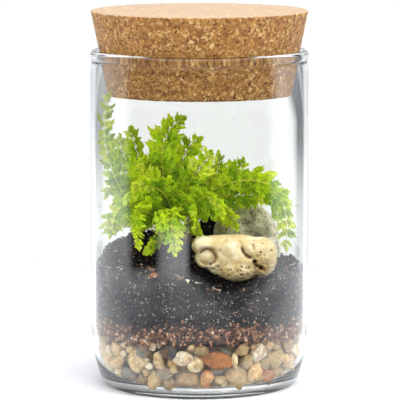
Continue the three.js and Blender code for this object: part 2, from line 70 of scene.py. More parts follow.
# Radius and height of the glass in millimetres, up the outside from the foot and up the inside from the floor
OUTSIDE = [
    (34, 1), (38.5, 0), (46.6, 0), (49.2, 1.6), (51.4, 7), (53.6, 15.5), (54.8, 24), (55, 31), (55, 160),
    (54.6, 164.2),
]
INSIDE = [
    (38, 3.3), (44.5, 3.6), (48.6, 7.4), (51.3, 14), (52.6, 22), (53.2, 32), (53.2, 132), (52.4, 147),
    (51.4, 160),
]
FOOT_MIDDLE = 1.3
FLOOR_MIDDLE = 4.2


# Tools of the bench
def pick(*pieces):
    bpy.ops.object.select_all(action="DESELECT")
    for piece in pieces:
        piece.select_set(True)
    bpy.context.view_layer.objects.active = pieces[0]


def named(name):
    piece = bpy.context.object
    piece.name = name
    piece.data.name = name
    return piece


def begun(name, primitive, **settings):
    """A new primitive, with nothing else selected."""
    bpy.ops.object.select_all(action="DESELECT")
    primitive(**settings)
    return named(name)


def own_copy(model):
    """A copy with its own mesh."""
    piece = model.copy()
    piece.data = model.data.copy()
    bpy.context.collection.objects.link(piece)
    return piece


def place_applied(piece):
    pick(piece)
    bpy.ops.object.transform_apply(location=True, rotation=True, scale=True)
    return piece


def modified(piece, kind, **settings):
    pick(piece)
    modifier = piece.modifiers.new(kind.title(), kind)
    for key, value in settings.items():
        setattr(modifier, key, value)
    bpy.ops.object.modifier_apply(modifier=modifier.name)


def roughened(piece, size, height, depth=2):
    """Moves the surface in and out by lumps of that size."""
    texture = bpy.data.textures.new(piece.name + "_lumps", "CLOUDS")
    texture.noise_scale = size
    texture.noise_depth = depth
    modified(piece, "DISPLACE", texture=texture, strength=height, mid_level=0.5, texture_coords="LOCAL")


def smoothed(piece):
    pick(piece)
    bpy.ops.object.shade_smooth()


def joined(name, pieces):
    pick(*pieces)
    if len(pieces) > 1:
        bpy.ops.object.join()
    piece = named(name)
    return place_applied(piece)


def copied(model, matrix, tone):
    """A copy of a model in its place, with its tone on every point."""
    piece = own_copy(model)
    piece.data.transform(matrix)
    toned(piece, tone)
    return piece


def toned(piece, tone):
    """Gives every point the same tone, or each its own from a list."""
    tones = tone if isinstance(tone, list) else [tone] * len(piece.data.vertices)
    attribute = piece.data.attributes.get("tone") or piece.data.attributes.new("tone", "FLOAT", "POINT")
    attribute.data.foreach_set("value", tones)


def toned_by_hollows(piece, spread, depth):
    """Tones every point by how hollow the surface is there: 0.5 where it is flat, 1 where it lies the depth
    below the surface that the given number of smoothing steps leaves."""
    soft = own_copy(piece)
    modified(soft, "SMOOTH", factor=1.0, iterations=spread)
    below = [(s.co - p.co).dot(p.normal) for s, p in zip(soft.data.vertices, piece.data.vertices)]
    toned(piece, [0.5 + min(max(b / depth, -1), 1) / 2 for b in below])
    removed(soft)


def removed(*pieces):
    for piece in pieces:
        bpy.data.objects.remove(piece)


def healed(piece):
    """Merges doubled points and turns every face outwards."""
    pick(piece)
    bpy.ops.object.mode_set(mode="EDIT")
    bpy.ops.mesh.select_all(action="SELECT")
    bpy.ops.mesh.remove_doubles(threshold=1e-6)
    bpy.ops.mesh.normals_make_consistent(inside=False)
    bpy.ops.object.mode_set(mode="OBJECT")


def solid_copy(node, name):
    """A copy of a solid of the frame with its doubled points merged."""
    piece = own_copy(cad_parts[node])
    piece.parent = None
    for key in list(piece.keys()):
        del piece[key]
    piece.name = name
    healed(piece)
    piece.data.materials.clear()
    return piece


def tube(name, knots, thickness, resolution=0, caps=False):
    """A tube along knots. Each has its place and its share of the thickness."""
    curve = bpy.data.curves.new(name, "CURVE")
    curve.dimensions = "3D"
    curve.bevel_depth = thickness
    curve.bevel_resolution = resolution
    curve.use_fill_caps = caps
    spline = curve.splines.new("POLY")
    spline.points.add(len(knots) - 1)
    for point, (place, share) in zip(spline.points, knots):
        point.co = (*place, 1)
        point.radius = share
    piece = bpy.data.objects.new(name, curve)
    bpy.context.collection.objects.link(piece)
    pick(piece)
    bpy.ops.object.convert(target="MESH")
    return bpy.context.object


def turn_to(direction, roll):
    """A turn that takes Z to the direction."""
    return direction.to_track_quat("Z", "Y").to_matrix().to_4x4() @ Matrix.Rotation(roll, 4, "Z")


def at_wall(angle, height, radius):
    """A place at an angle round from the front, and the way outwards there."""
    outwards = Vector((math.sin(angle), -math.cos(angle), 0))
    return outwards * radius + Vector((0, 0, height)), outwards


def interpolated(outline, height):
    for (r0, z0), (r1, z1) in zip(outline, outline[1:]):
        if height <= z1 * MM:
            return (r0 + (r1 - r0) * (height / MM - z0) / (z1 - z0)) * MM
    return outline[-1][0] * MM


def glass_radius(height):
    return interpolated(INSIDE, height)


def cork_radius(height):
    share = (height - CORK_BOTTOM) / (CORK_TOP - CORK_BOTTOM)
    return CORK_BOTTOM_RADIUS + share * (CORK_TOP_RADIUS - CORK_BOTTOM_RADIUS)


def hill(x, y, at_x, at_y, width):
    return math.exp(-((x - at_x) ** 2 + (y - at_y) ** 2) / (2 * width * width))


def soil_top(x, y):
    """Height of the soil's surface, by the same waves as the solid's."""
    x, y = x / MM, y / MM
    mound = 11.5 * hill(x, y, -12, 1, 17) + 9 * hill(x, y, -33, 17, 13) + 17 * hill(x, y, 4, 30, 10)
    front_dip = 7.5 * hill(x, y, 14, -50, 12)
    lumps = 0.7 * math.sin(0.55 * x + 1.1) * math.cos(0.62 * y) + 0.5 * math.sin(0.9 * x + 1.3 * y)
    return SOIL_TOP + (0.035 * y + mound - front_dip + lumps) * MM


def pebble_top(angle):
    """Height of the pebbles against the glass, at an angle round from +X, as is the next."""
    return PEBBLE_TOP + (1.2 * math.sin(3 * angle + 0.4) + 0.8 * math.sin(7 * angle + 2)) * MM


def bark_top(angle):
    return BARK_TOP + (1.1 * math.sin(4 * angle + 1.3) + 0.8 * math.sin(9 * angle)) * MM


# Shader tools
def colour(code):
    """A colour from its six-figure screen code."""
    channels = [int(code[i : i + 2], 16) / 255 for i in (0, 2, 4)]
    return [c / 12.92 if c <= 0.04045 else ((c + 0.055) / 1.055) ** 2.4 for c in channels] + [1.0]


def plug(tree, value, socket):
    """Links another node's output to the socket, or sets the socket to a number or colour."""
    if isinstance(value, bpy.types.NodeSocket):
        tree.links.new(value, socket)
    else:
        socket.default_value = value


def add(tree, kind, inputs=None, **settings):
    """A new node. inputs are by the socket's name or place, and settings are the node's own."""
    node = tree.nodes.new("ShaderNode" + kind)
    for key, value in settings.items():
        setattr(node, key, value)
    for key, value in (inputs or {}).items():
        plug(tree, value, node.inputs[key])
    return node


def noise_of(tree, vector, scale, detail, roughness=0.55, distortion=0.0):
    inputs = {"Vector": vector, "Scale": scale, "Detail": detail, "Roughness": roughness}
    return add(tree, "TexNoise", {**inputs, "Distortion": distortion}).outputs["Fac"]


def cells_of(tree, vector, scale, feature="F1"):
    return add(tree, "TexVoronoi", {"Vector": vector, "Scale": scale}, feature=feature)


def channel(tree, cells, index):
    """One channel of the cells' colour, a random number for each cell."""
    return add(tree, "SeparateColor", {"Color": cells.outputs["Color"]}).outputs[index]


def ramp(tree, factor, stops):
    """A colour ramp. stops are (place, screen code), from low to high."""
    node = add(tree, "ValToRGB", {"Fac": factor})
    elements = node.color_ramp.elements
    elements[0].position, elements[1].position = stops[0][0], stops[-1][0]
    for place, _ in stops[1:-1]:
        elements.new(place)
    for element, (_, code) in zip(elements, stops):
        element.color = colour(code)
    return node.outputs["Color"]


def ranged(tree, value, low, high, to_low=0.0, to_high=1.0):
    """Takes low to to_low and high to to_high, and stays between them."""
    inputs = {"Value": value, "From Min": low, "From Max": high, "To Min": to_low, "To Max": to_high}
    return add(tree, "MapRange", inputs).outputs["Result"]


def maths(tree, operation, first, second=0.0, third=0.0, clamp=False):
    inputs = {0: first, 1: second, 2: third}
    return add(tree, "Math", inputs, operation=operation, use_clamp=clamp).outputs[0]


def times(tree, first, second):
    return maths(tree, "MULTIPLY", first, second)


def summed(tree, first, second, clamp=False):
    return maths(tree, "ADD", first, second, clamp=clamp)


def larger(tree, first, second):
    return maths(tree, "MAXIMUM", first, second)


def mixed(tree, factor, first, second, blend="MIX"):
    inputs = {0: factor, 6: first, 7: second}  # the sockets for colours
    return add(tree, "Mix", inputs, data_type="RGBA", blend_type=blend).outputs[2]


def shaded(tree, body, shade):
    """The colour times a shade."""
    grey = add(tree, "CombineColor", {0: shade, 1: shade, 2: shade}).outputs[0]
    return mixed(tree, 1.0, body, grey, "MULTIPLY")


def bumped(tree, height, distance, strength):
    inputs = {"Height": height, "Distance": distance, "Strength": strength}
    return add(tree, "Bump", inputs).outputs["Normal"]


def new_finish(name):
    material = bpy.data.materials.new(name)
    material.use_nodes = True
    tree = material.node_tree
    tree.nodes.clear()
    shader = add(tree, "BsdfPrincipled")
    output = add(tree, "OutputMaterial", {"Surface": shader.outputs["BSDF"]})
    return material, tree, shader, output


def feed(tree, shader, **inputs):
    """Each input by its socket's name, in small letters with underscores."""
    for key, value in inputs.items():
        plug(tree, value, shader.inputs[key.replace("_", " ").title().replace("Ior", "IOR")])


def object_place(tree):
    return add(tree, "TexCoord").outputs["Object"]


def height_of(tree, place):
    return add(tree, "SeparateXYZ", {"Vector": place}).outputs["Z"]


def tone_of(tree):
    return add(tree, "Attribute", attribute_name="tone").outputs["Fac"]


def new_group(name, ins, outs):
    """Starts a node group: its tree, its input sockets and its output node."""
    group = bpy.data.node_groups.new(name, "ShaderNodeTree")
    for way, sockets in (("INPUT", ins), ("OUTPUT", outs)):
        for label, kind in sockets:
            group.interface.new_socket(label, in_out=way, socket_type=kind)
    return group, group.nodes.new("NodeGroupInput").outputs, group.nodes.new("NodeGroupOutput").inputs


# Effects that several finishes share
def stone_grain_group():
    """Mottles, fine grain and dark specks of a stone, for features of a given size per metre."""
    group, ins, outs = new_group(
        "stone_grain",
        [("Vector", "NodeSocketVector"), ("Scale", "NodeSocketFloat"), ("Specks", "NodeSocketFloat")],
        [("Mottle", "NodeSocketFloat"), ("Grain", "NodeSocketFloat"), ("Specks", "NodeSocketFloat")],
    )
    fine_scale = times(group, ins["Scale"], 4.0)
    mottle = noise_of(group, ins["Vector"], ins["Scale"], 5.0, 0.6, 0.4)
    grain = noise_of(group, ins["Vector"], fine_scale, 3.0, 0.6)
    cell = cells_of(group, ins["Vector"], fine_scale)
    chosen = maths(group, "LESS_THAN", channel(group, cell, 0), ins["Specks"])
    near = ranged(group, cell.outputs["Distance"], 0.42, 0.22)
    group.links.new(ranged(group, mottle, 0.3, 0.7), outs["Mottle"])
    group.links.new(grain, outs["Grain"])
    group.links.new(times(group, chosen, near), outs["Specks"])
    return group


def grain_of(tree, scale, specks):
    inputs = {"Vector": object_place(tree), "Scale": scale, "Specks": specks}
    return add(tree, "Group", inputs, node_tree=stone_grain).outputs


stone_grain = stone_grain_group()


# Finishes
def glass_finish():
    """Clear glass that shadows pass straight through."""
    material, tree, shader, output = new_finish("clear_glass")
    feed(tree, shader, base_color=colour("fcfefd"), roughness=0.0, ior=1.5, transmission_weight=1.0)
    clear = add(tree, "BsdfTransparent", {"Color": (0.985, 0.99, 0.988, 1)})
    in_shadow = add(tree, "LightPath").outputs["Is Shadow Ray"]
    mix = add(tree, "MixShader", {0: in_shadow, 1: shader.outputs["BSDF"], 2: clear.outputs["BSDF"]})
    tree.links.new(mix.outputs[0], output.inputs["Surface"])
    return material


def cork_finish():
    """Pressed granules in browns, with dark seams and flecks, and a pale sheen painted on the top face."""
    material, tree, shader, _ = new_finish("pressed_cork")
    place = object_place(tree)
    warp = add(tree, "TexNoise", {"Vector": place, "Scale": 420.0, "Detail": 2.0}).outputs["Color"]
    offset = add(tree, "VectorMath", {0: warp, 1: (0.5, 0.5, 0.5)}, operation="SUBTRACT").outputs[0]
    scaled = add(tree, "VectorMath", {0: offset, "Scale": 0.003}, operation="SCALE").outputs[0]
    bent = add(tree, "VectorMath", {0: place, 1: scaled}, operation="ADD").outputs[0]
    large = cells_of(tree, bent, 330.0)
    small = cells_of(tree, bent, 820.0)
    seams = cells_of(tree, bent, 330.0, "DISTANCE_TO_EDGE").outputs["Distance"]
    fine_seams = cells_of(tree, bent, 820.0, "DISTANCE_TO_EDGE").outputs["Distance"]
    browns = [(0.0, "815223"), (0.25, "9c6930"), (0.6, "b37f3e"), (0.85, "c89a56"), (1.0, "dcb67a")]
    granule = ramp(tree, channel(tree, large, 0), browns)
    crumb = ramp(tree, channel(tree, small, 1), browns)
    patch = ranged(tree, noise_of(tree, place, 300.0, 3.0), 0.40, 0.50)
    body = mixed(tree, patch, granule, crumb)
    streak = ranged(tree, noise_of(tree, bent, 1500.0, 3.0, 0.7), 0.3, 0.65, 0.7, 1.12)
    body = shaded(tree, body, streak)
    seam = times(tree, ranged(tree, seams, 0.0, 0.09, 1.0, 0.0), 0.55)
    fine_seam = times(tree, ranged(tree, fine_seams, 0.0, 0.12, 1.0, 0.0), patch)
    dark = larger(tree, seam, times(tree, fine_seam, 0.6))
    body = mixed(tree, dark, body, colour("5a3517"))
    fleck_cells = cells_of(tree, bent, 760.0)
    chosen = channel(tree, fleck_cells, 2)
    near = ranged(tree, fleck_cells.outputs["Distance"], 0.5, 0.25)
    fleck = times(tree, maths(tree, "LESS_THAN", chosen, 0.2), near)
    body = mixed(tree, times(tree, fleck, 0.9), body, colour("42240f"))
    pits = maths(tree, "SUBTRACT", 1.0, larger(tree, dark, fleck))
    height = summed(tree, pits, times(tree, noise_of(tree, place, 2200.0, 3.0), 0.5))
    # Painted sheen: the top face is washed pale, as light glancing off it would look.
    top = ranged(tree, height_of(tree, place), CORK_TOP - 0.6 * MM, CORK_TOP - 0.3 * MM)
    body = mixed(tree, times(tree, top, 0.5), body, colour("b8ab98"))
    feed(tree, shader, base_color=body, roughness=0.55, specular_ior_level=0.5)
    feed(tree, shader, normal=bumped(tree, height, 0.0005, 0.55))
    return material


def pebble_finish():
    """Cream, tan, orange, grey and slate stones by tone, mottled, with stains."""
    material, tree, shader, _ = new_finish("river_pebbles")
    tone = tone_of(tree)
    place = object_place(tree)
    grain = grain_of(tree, 300.0, 0.14)
    stops = [
        (0.0, "393c41"), (0.1, "72726c"), (0.2, "94886f"), (0.3, "ad9468"), (0.4, "c8a873"),
        (0.5, "ddc08a"), (0.6, "edd6a6"), (0.7, "f6ebd4"), (0.8, "ecc582"), (0.9, "c8834a"), (1.0, "9a5a32"),
    ]
    shifted = summed(tree, tone, ranged(tree, grain["Mottle"], 0.0, 1.0, -0.06, 0.06), clamp=True)
    body = ramp(tree, shifted, stops)
    stain = ranged(tree, noise_of(tree, place, 190.0, 3.0, 0.6, 1.2), 0.48, 0.68, 0.0, 0.7)
    body = mixed(tree, stain, body, colour("ad7230"))
    shade = ranged(tree, noise_of(tree, place, 420.0, 4.0, 0.7, 0.8), 0.3, 0.7, 0.55, 1.18)
    body = shaded(tree, body, shade)
    body = mixed(tree, times(tree, grain["Specks"], 0.6), body, colour("5c4a36"))
    height = summed(tree, grain["Grain"], grain["Mottle"])
    roughness = ranged(tree, grain["Grain"], 0.2, 0.8, 0.35, 0.6)
    feed(tree, shader, base_color=body, roughness=roughness, normal=bumped(tree, height, 0.0004, 0.7))
    return material


def bark_finish():
    """Browns by tone, from wet bark to pale torn wood, with streaks."""
    material, tree, shader, _ = new_finish("bark_and_coir")
    tone = tone_of(tree)
    place = object_place(tree)
    grain = noise_of(tree, place, 900.0, 5.0, 0.65, 1.5)
    broad = noise_of(tree, place, 330.0, 3.0, 0.6)
    shifted = summed(tree, tone, ranged(tree, grain, 0.25, 0.75, -0.22, 0.22))
    shifted = summed(tree, shifted, ranged(tree, broad, 0.3, 0.7, -0.16, 0.16), clamp=True)
    stops = [
        (0.0, "1f1713"), (0.25, "45291b"), (0.45, "6e4631"), (0.6, "925f40"), (0.75, "b3815b"),
        (0.88, "cfa685"), (1.0, "ecdac2"),
    ]
    feed(tree, shader, base_color=ramp(tree, shifted, stops), roughness=0.85, specular_ior_level=0.3)
    feed(tree, shader, normal=bumped(tree, grain, 0.0006, 1.0))
    return material


def soil_finish():
    """Near-black crumbs by tone, up to bark bits and white grains, with pale specks and short fibres."""
    material, tree, shader, _ = new_finish("potting_soil")
    tone = tone_of(tree)
    place = object_place(tree)
    grain = grain_of(tree, 330.0, 0.22)
    fine = noise_of(tree, place, 1300.0, 4.0, 0.7)
    clods = cells_of(tree, place, 420.0)
    clod = channel(tree, clods, 0)
    stops = [
        (0.0, "040303"), (0.35, "0b0908"), (0.6, "1f1713"), (0.75, "5e3d2b"), (0.88, "a87c5e"),
        (1.0, "f2ece2"),
    ]
    shifted = summed(tree, tone, ranged(tree, fine, 0.3, 0.7, -0.16, 0.16))
    shifted = summed(tree, shifted, ranged(tree, clod, 0.0, 1.0, -0.14, 0.14), clamp=True)
    body = ramp(tree, shifted, stops)
    stretch = {"Vector": place, "Rotation": (0.4, 0.9, 0.3), "Scale": (0.3, 0.3, 1.3)}
    streaks = noise_of(tree, add(tree, "Mapping", stretch).outputs["Vector"], 1500.0, 2.0, 0.5, 2.5)
    fibre = ranged(tree, streaks, 0.64, 0.7, 0.0, 0.45)
    pale = larger(tree, times(tree, grain["Specks"], 0.55), fibre)
    body = mixed(tree, pale, body, colour("a59a92"))
    height = summed(tree, summed(tree, grain["Grain"], fine), clods.outputs["Distance"])
    feed(tree, shader, base_color=body, roughness=0.9, specular_ior_level=0.08)
    feed(tree, shader, normal=bumped(tree, height, 0.0012, 1.0))
    return material


def rock_finish():
    """Grey-olive rock with pale lichen and dark specks, and painted shade darkening its hollows."""
    material, tree, shader, _ = new_finish("mottled_rock")
    hollow = tone_of(tree)
    grain = grain_of(tree, 150.0, 0.25)
    broad = noise_of(tree, object_place(tree), 75.0, 4.0, 0.6, 0.8)
    stops = [(0.0, "625c46"), (0.25, "9c957a"), (0.5, "c2bb9e"), (0.75, "ddd6be"), (1.0, "f2ecda")]
    mottle = ranged(tree, grain["Mottle"], 0, 1, -0.2, 0.3)
    shifted = summed(tree, ranged(tree, broad, 0.3, 0.7, 0.1, 0.75), mottle)
    # Painted shade: darker where the surface is hollow.
    shifted = maths(tree, "SUBTRACT", shifted, ranged(tree, hollow, 0.5, 0.8, 0.0, 0.6))
    body = ramp(tree, shifted, stops)
    body = mixed(tree, times(tree, grain["Specks"], 0.7), body, colour("26231a"))
    height = summed(tree, grain["Grain"], grain["Mottle"])
    feed(tree, shader, base_color=body, roughness=0.8, normal=bumped(tree, height, 0.0008, 0.9))
    return material


def cream_stone_finish():
    """Cream stone, brown where its tone says that the surface is hollow, as stains and painted shade, near
    black in the deepest hollows as painted shade, and with grime and specks low down, on the dome and in the
    hollows, the grime low down being partly painted shade.
    """
    material, tree, shader, _ = new_finish("cream_stone")
    hollow = tone_of(tree)
    place = object_place(tree)
    grain = grain_of(tree, 420.0, 0.3)
    broad = noise_of(tree, place, 110.0, 3.0, 0.55, 0.5)
    stops = [(0.0, "a0824f"), (0.3, "bfa672"), (0.55, "cbb686"), (0.8, "d9c8a2"), (1.0, "e8dcc4")]
    mottle = ranged(tree, grain["Mottle"], 0, 1, -0.16, 0.16)
    shifted = summed(tree, ranged(tree, broad, 0.3, 0.7, 0.15, 0.95), mottle)
    body = ramp(tree, shifted, stops)
    blotch = ranged(tree, noise_of(tree, place, 600.0, 4.0, 0.7), 0.4, 0.66)
    # Stains and painted shade: brown in blotches where the surface is hollow.
    shade = ranged(tree, hollow, 0.52, 0.72)
    stain_and_shade = times(tree, shade, ranged(tree, blotch, 0.0, 1.0, 0.45, 1.0))
    body = mixed(tree, stain_and_shade, body, colour("80562a"))
    # Painted shade: near-black brown in the deepest hollows and cracks.
    body = mixed(tree, ranged(tree, hollow, 0.7, 0.92), body, colour("3a2512"))
    # Grime and specks low down, on the dome and in the hollows; the brown low down and in the hollows is
    # partly painted shade.
    low = ranged(tree, height_of(tree, place), STONE.z - 2 * MM, STONE.z - 10 * MM)
    dome = STONE + Vector((14.5, -8, 1)) * MM
    off_dome = add(tree, "VectorMath", {0: place, 1: dome}, operation="DISTANCE").outputs["Value"]
    right = ranged(tree, off_dome, 7 * MM, 1.4 * MM)
    shaded_and_grimy = larger(tree, larger(tree, low, right), shade)
    grime_and_shade = times(tree, shaded_and_grimy, ranged(tree, noise_of(tree, place, 760.0, 5.0, 0.75), 0.5, 0.6))
    body = mixed(tree, times(tree, grime_and_shade, 0.75), body, colour("7a5733"))
    speckled = times(tree, grain["Specks"], shaded_and_grimy)
    body = mixed(tree, times(tree, speckled, 0.9), body, colour("35210f"))
    height = maths(tree, "SUBTRACT", times(tree, grain["Grain"], 0.6), times(tree, speckled, 0.9))
    feed(tree, shader, base_color=body, roughness=0.42, normal=bumped(tree, height, 0.0005, 0.8))
    return material


def crown_finish():
    material, tree, shader, _ = new_finish("fern_crown")
    place = object_place(tree)
    stretched = add(tree, "Mapping", {"Vector": place, "Scale": (1, 1, 0.25)}).outputs["Vector"]
    fibre = noise_of(tree, stretched, 1400.0, 4.0, 0.7, 0.6)
    stops = [(0.0, "1d130b"), (0.45, "3c2714"), (0.7, "6a4a26"), (1.0, "9a7a48")]
    body = ramp(tree, fibre, stops)
    feed(tree, shader, base_color=body, roughness=0.85, normal=bumped(tree, fibre, 0.0005, 0.9))
    return material


def leaf_finish():
    """Lime green by tone, with painted shade darkening a leaflet's base, a yellow along its cut edges and tip
    that is partly its own colour and partly a painted highlight, and light through it.
    """
    material, tree, shader, output = new_finish("fern_leaf")
    tone = tone_of(tree)
    uv = add(tree, "SeparateXYZ", {"Vector": add(tree, "UVMap", uv_map="UVMap").outputs["UV"]})
    off_middle = maths(tree, "ABSOLUTE", maths(tree, "SUBTRACT", uv.outputs["Y"], 0.5))
    mottle = noise_of(tree, object_place(tree), 420.0, 3.0, 0.6)
    shade = summed(tree, tone, ranged(tree, mottle, 0.3, 0.7, -0.2, 0.2), clamp=True)
    stops = [(0.0, "5a900a"), (0.25, "98c412"), (0.5, "c6ea1a"), (0.75, "eafa2c"), (1.0, "fbff70")]
    body = ramp(tree, shade, stops)
    # Yellow along the cut edges and the tip: partly the leaflet's own colour, partly a painted highlight on
    # its rims.
    outer = ranged(tree, uv.outputs["X"], 0.35, 0.8)
    side = times(tree, ranged(tree, off_middle, 0.36, 0.5, 0.0, 0.8), outer)
    end = ranged(tree, uv.outputs["X"], 0.78, 1.0, 0.0, 0.85)
    # Painted shade: darker towards a leaflet's base, where leaflets crowd near the rib.
    body = mixed(tree, ranged(tree, uv.outputs["X"], 0.45, 0.05, 0.0, 0.6), body, colour("2f5c06"))
    body = mixed(tree, larger(tree, side, end), body, colour("f0f83a"))
    veins = noise_of(tree, object_place(tree), 1500.0, 2.0, 0.5, 1.0)
    normal = bumped(tree, veins, 0.0003, 0.6)
    feed(tree, shader, base_color=body, roughness=0.26, specular_ior_level=0.8, normal=normal)
    glow = mixed(tree, 0.5, body, colour("ecfa38"))
    through = add(tree, "BsdfTranslucent", {"Color": glow, "Normal": normal})
    mix = add(tree, "MixShader", {0: 0.5, 1: shader.outputs["BSDF"], 2: through.outputs["BSDF"]})
    tree.links.new(mix.outputs[0], output.inputs["Surface"])
    return material


def rib_finish():
    material, tree, shader, _ = new_finish("fern_rib")
    tone = tone_of(tree)
    mottle = noise_of(tree, object_place(tree), 600.0, 3.0)
    shade = summed(tree, tone, ranged(tree, mottle, 0.3, 0.7, -0.1, 0.1), clamp=True)
    body = ramp(tree, shade, [(0.0, "6a4a1c"), (0.35, "a8a02a"), (0.7, "dcd63e"), (1.0, "f2ea6c")])
    feed(tree, shader, base_color=body, roughness=0.5, normal=bumped(tree, mottle, 0.0002, 0.4))
    return material


def floor_finish():
    material, tree, shader, _ = new_finish("white_table")
    haze = noise_of(tree, object_place(tree), 3.0, 2.0)
    tint = ramp(tree, haze, [(0.3, "d8dade"), (0.7, "dddfe3")])
    feed(tree, shader, base_color=tint, roughness=0.6, specular_ior_level=0.2)
    return material


# Jar and cork
def rounded(outline, steps):
    """More points along an outline, on a smooth curve through it that stays above the foot."""
    points = [Vector(p) for p in outline]
    found = []
    for i, (a, b) in enumerate(zip(points, points[1:])):
        before = points[max(i - 1, 0)]
        after = points[min(i + 2, len(points) - 1)]
        length = (b - a).length
        into = (b - before).normalized() * length
        out = (after - a).normalized() * length
        for k in range(steps):
            t = k / steps
            h1 = t * t * (3 - 2 * t)
            found.append(a * (1 - h1) + b * h1 + into * (t**3 - 2 * t * t + t) + out * (t**3 - t * t))
    return [(p.x, max(p.y, 0.0)) for p in found + points[-1:]]


def turned(name, outline, segments, middle_low, middle_high):
    """A closed piece turned about the jar's axis, ring by ring. outline is (radius, height) in millimetres,
    and the middles are the heights of the points on the axis that close the first and the last ring."""
    radius, height = outline[0]
    settings = {"vertices": segments, "radius": radius * MM, "location": (0, 0, height * MM)}
    piece = place_applied(begun(name, bpy.ops.mesh.primitive_circle_add, fill_type="TRIFAN", **settings))
    bpy.ops.object.mode_set(mode="EDIT")
    bpy.ops.mesh.select_all(action="SELECT")
    bpy.ops.mesh.region_to_loop()
    for (r0, z0), (r1, z1) in zip(outline, outline[1:]):
        bpy.ops.mesh.extrude_edges_move(TRANSFORM_OT_translate={"value": (0, 0, (z1 - z0) * MM)})
        bpy.ops.transform.resize(value=(r1 / r0, r1 / r0, 1), center_override=(0, 0, z1 * MM))
    top = outline[-1][1]
    bpy.ops.mesh.extrude_edges_move(TRANSFORM_OT_translate={"value": (0, 0, (middle_high - top) * MM)})
    bpy.ops.mesh.merge(type="CENTER")
    bpy.ops.object.mode_set(mode="OBJECT")
    first = min(piece.data.vertices, key=lambda v: v.co.xy.length + abs(v.co.z - height * MM))
    first.co.z = middle_low * MM
    healed(piece)
    smoothed(piece)
    return piece


def glass_jar():
    """The outline goes up the outside, over the fire-polished rim's round section and down the inside."""
    middle, height = (MOUTH_RADIUS + BEAD_OUT) / MM, (JAR_TOP - BEAD_UP) / MM
    angles = [math.radians(-40 + 250 * k / 14) for k in range(15)]
    rim = [(middle + BEAD_OUT / MM * math.cos(a), height + BEAD_UP / MM * math.sin(a)) for a in angles]
    outline = rounded(OUTSIDE, 6) + rim + rounded(INSIDE, 6)[::-1]
    return turned("jar", outline, 160, FOOT_MIDDLE, FLOOR_MIDDLE)


def cork_stopper():
    bottom, top = CORK_BOTTOM / MM, CORK_TOP / MM
    low, high = CORK_BOTTOM_RADIUS / MM, CORK_TOP_RADIUS / MM
    rows = 44
    shares = [k / rows for k in range(rows + 1)]
    side = [(low + (high - low) * share, bottom + 0.5 + (top - bottom - 1) * share) for share in shares]
    rings = [0.05, 0.2, 0.4, 0.6, 0.75, 0.85, 0.92, 0.96]
    under = [(share * low, bottom) for share in rings]
    over = [(share * high, top) for share in rings[::-1]]
    outline = under + [(low - 0.6, bottom)] + side + [(high - 0.6, top)] + over
    piece = turned("cork", outline, 220, bottom, top)
    roughened(piece, 1.4 * MM, 0.5 * MM)
    return piece


# Stones and grains
def pebble_models(count, faces):
    """Broken stones with worn edges: balls cut flat by a few planes, then softened."""
    models = []
    for k in range(count):
        draw = random.Random(70 + k)
        model = begun("pebble_model", bpy.ops.mesh.primitive_ico_sphere_add, subdivisions=3, radius=1.12)
        bpy.ops.object.mode_set(mode="EDIT")
        for _ in range(draw.choice((5, 6, 7))):
            facing = Vector((draw.gauss(0, 1), draw.gauss(0, 1), draw.gauss(0, 1))).normalized()
            bpy.ops.mesh.select_all(action="SELECT")
            place = facing * draw.uniform(0.6, 0.92)
            bpy.ops.mesh.bisect(plane_co=place, plane_no=facing, use_fill=True, clear_outer=True)
        bpy.ops.object.mode_set(mode="OBJECT")
        modified(model, "REMESH", mode="VOXEL", voxel_size=0.11)
        modified(model, "SMOOTH", factor=0.6, iterations=6)
        modified(model, "DECIMATE", ratio=faces / (2 * len(model.data.polygons)))
        smoothed(model)
        models.append(model)
    return models


def flake_models(count, half_width, half_height):
    """Torn flat chips, a unit long each way from the middle."""
    models = []
    for k in range(count):
        model = begun("flake_model", bpy.ops.mesh.primitive_grid_add, x_subdivisions=4, y_subdivisions=2)
        draw = random.Random(90 + k)
        for vertex in model.data.vertices:
            taper = 1 - 0.5 * abs(vertex.co.x) ** 2
            vertex.co.y *= half_width * taper * draw.uniform(0.7, 1.2)
            vertex.co.x += draw.uniform(-0.12, 0.12)
            vertex.co.z = 0.18 * vertex.co.x**2 + draw.uniform(-0.5, 0.5) * half_height
        modified(model, "SOLIDIFY", thickness=2 * half_height, offset=0)
        smoothed(model)
        models.append(model)
    return models


def crumb_models(count, draw):
    """Small broken lumps, about a unit from the middle to the surface."""
    models = []
    for _ in range(count):
        model = begun("crumb_model", bpy.ops.mesh.primitive_ico_sphere_add, subdivisions=1, radius=1)
        for vertex in model.data.vertices:
            vertex.co *= draw.uniform(0.6, 1.3)
        smoothed(model)
        models.append(model)
    return models


def thread_models(count):
    """Curled fibres, a unit long each way from the middle."""
    models = []
    for k in range(count):
        draw = random.Random(120 + k)
        bend = draw.uniform(0.2, 0.6)
        wave = draw.uniform(0.1, 0.3)
        times_along = [i / 3.5 - 1 for i in range(8)]
        knots = [((t, bend * t * t, wave * math.sin(3 * t)), 1 - 0.5 * abs(t)) for t in times_along]
        models.append(tube("thread_model", knots, 0.03))
    return models


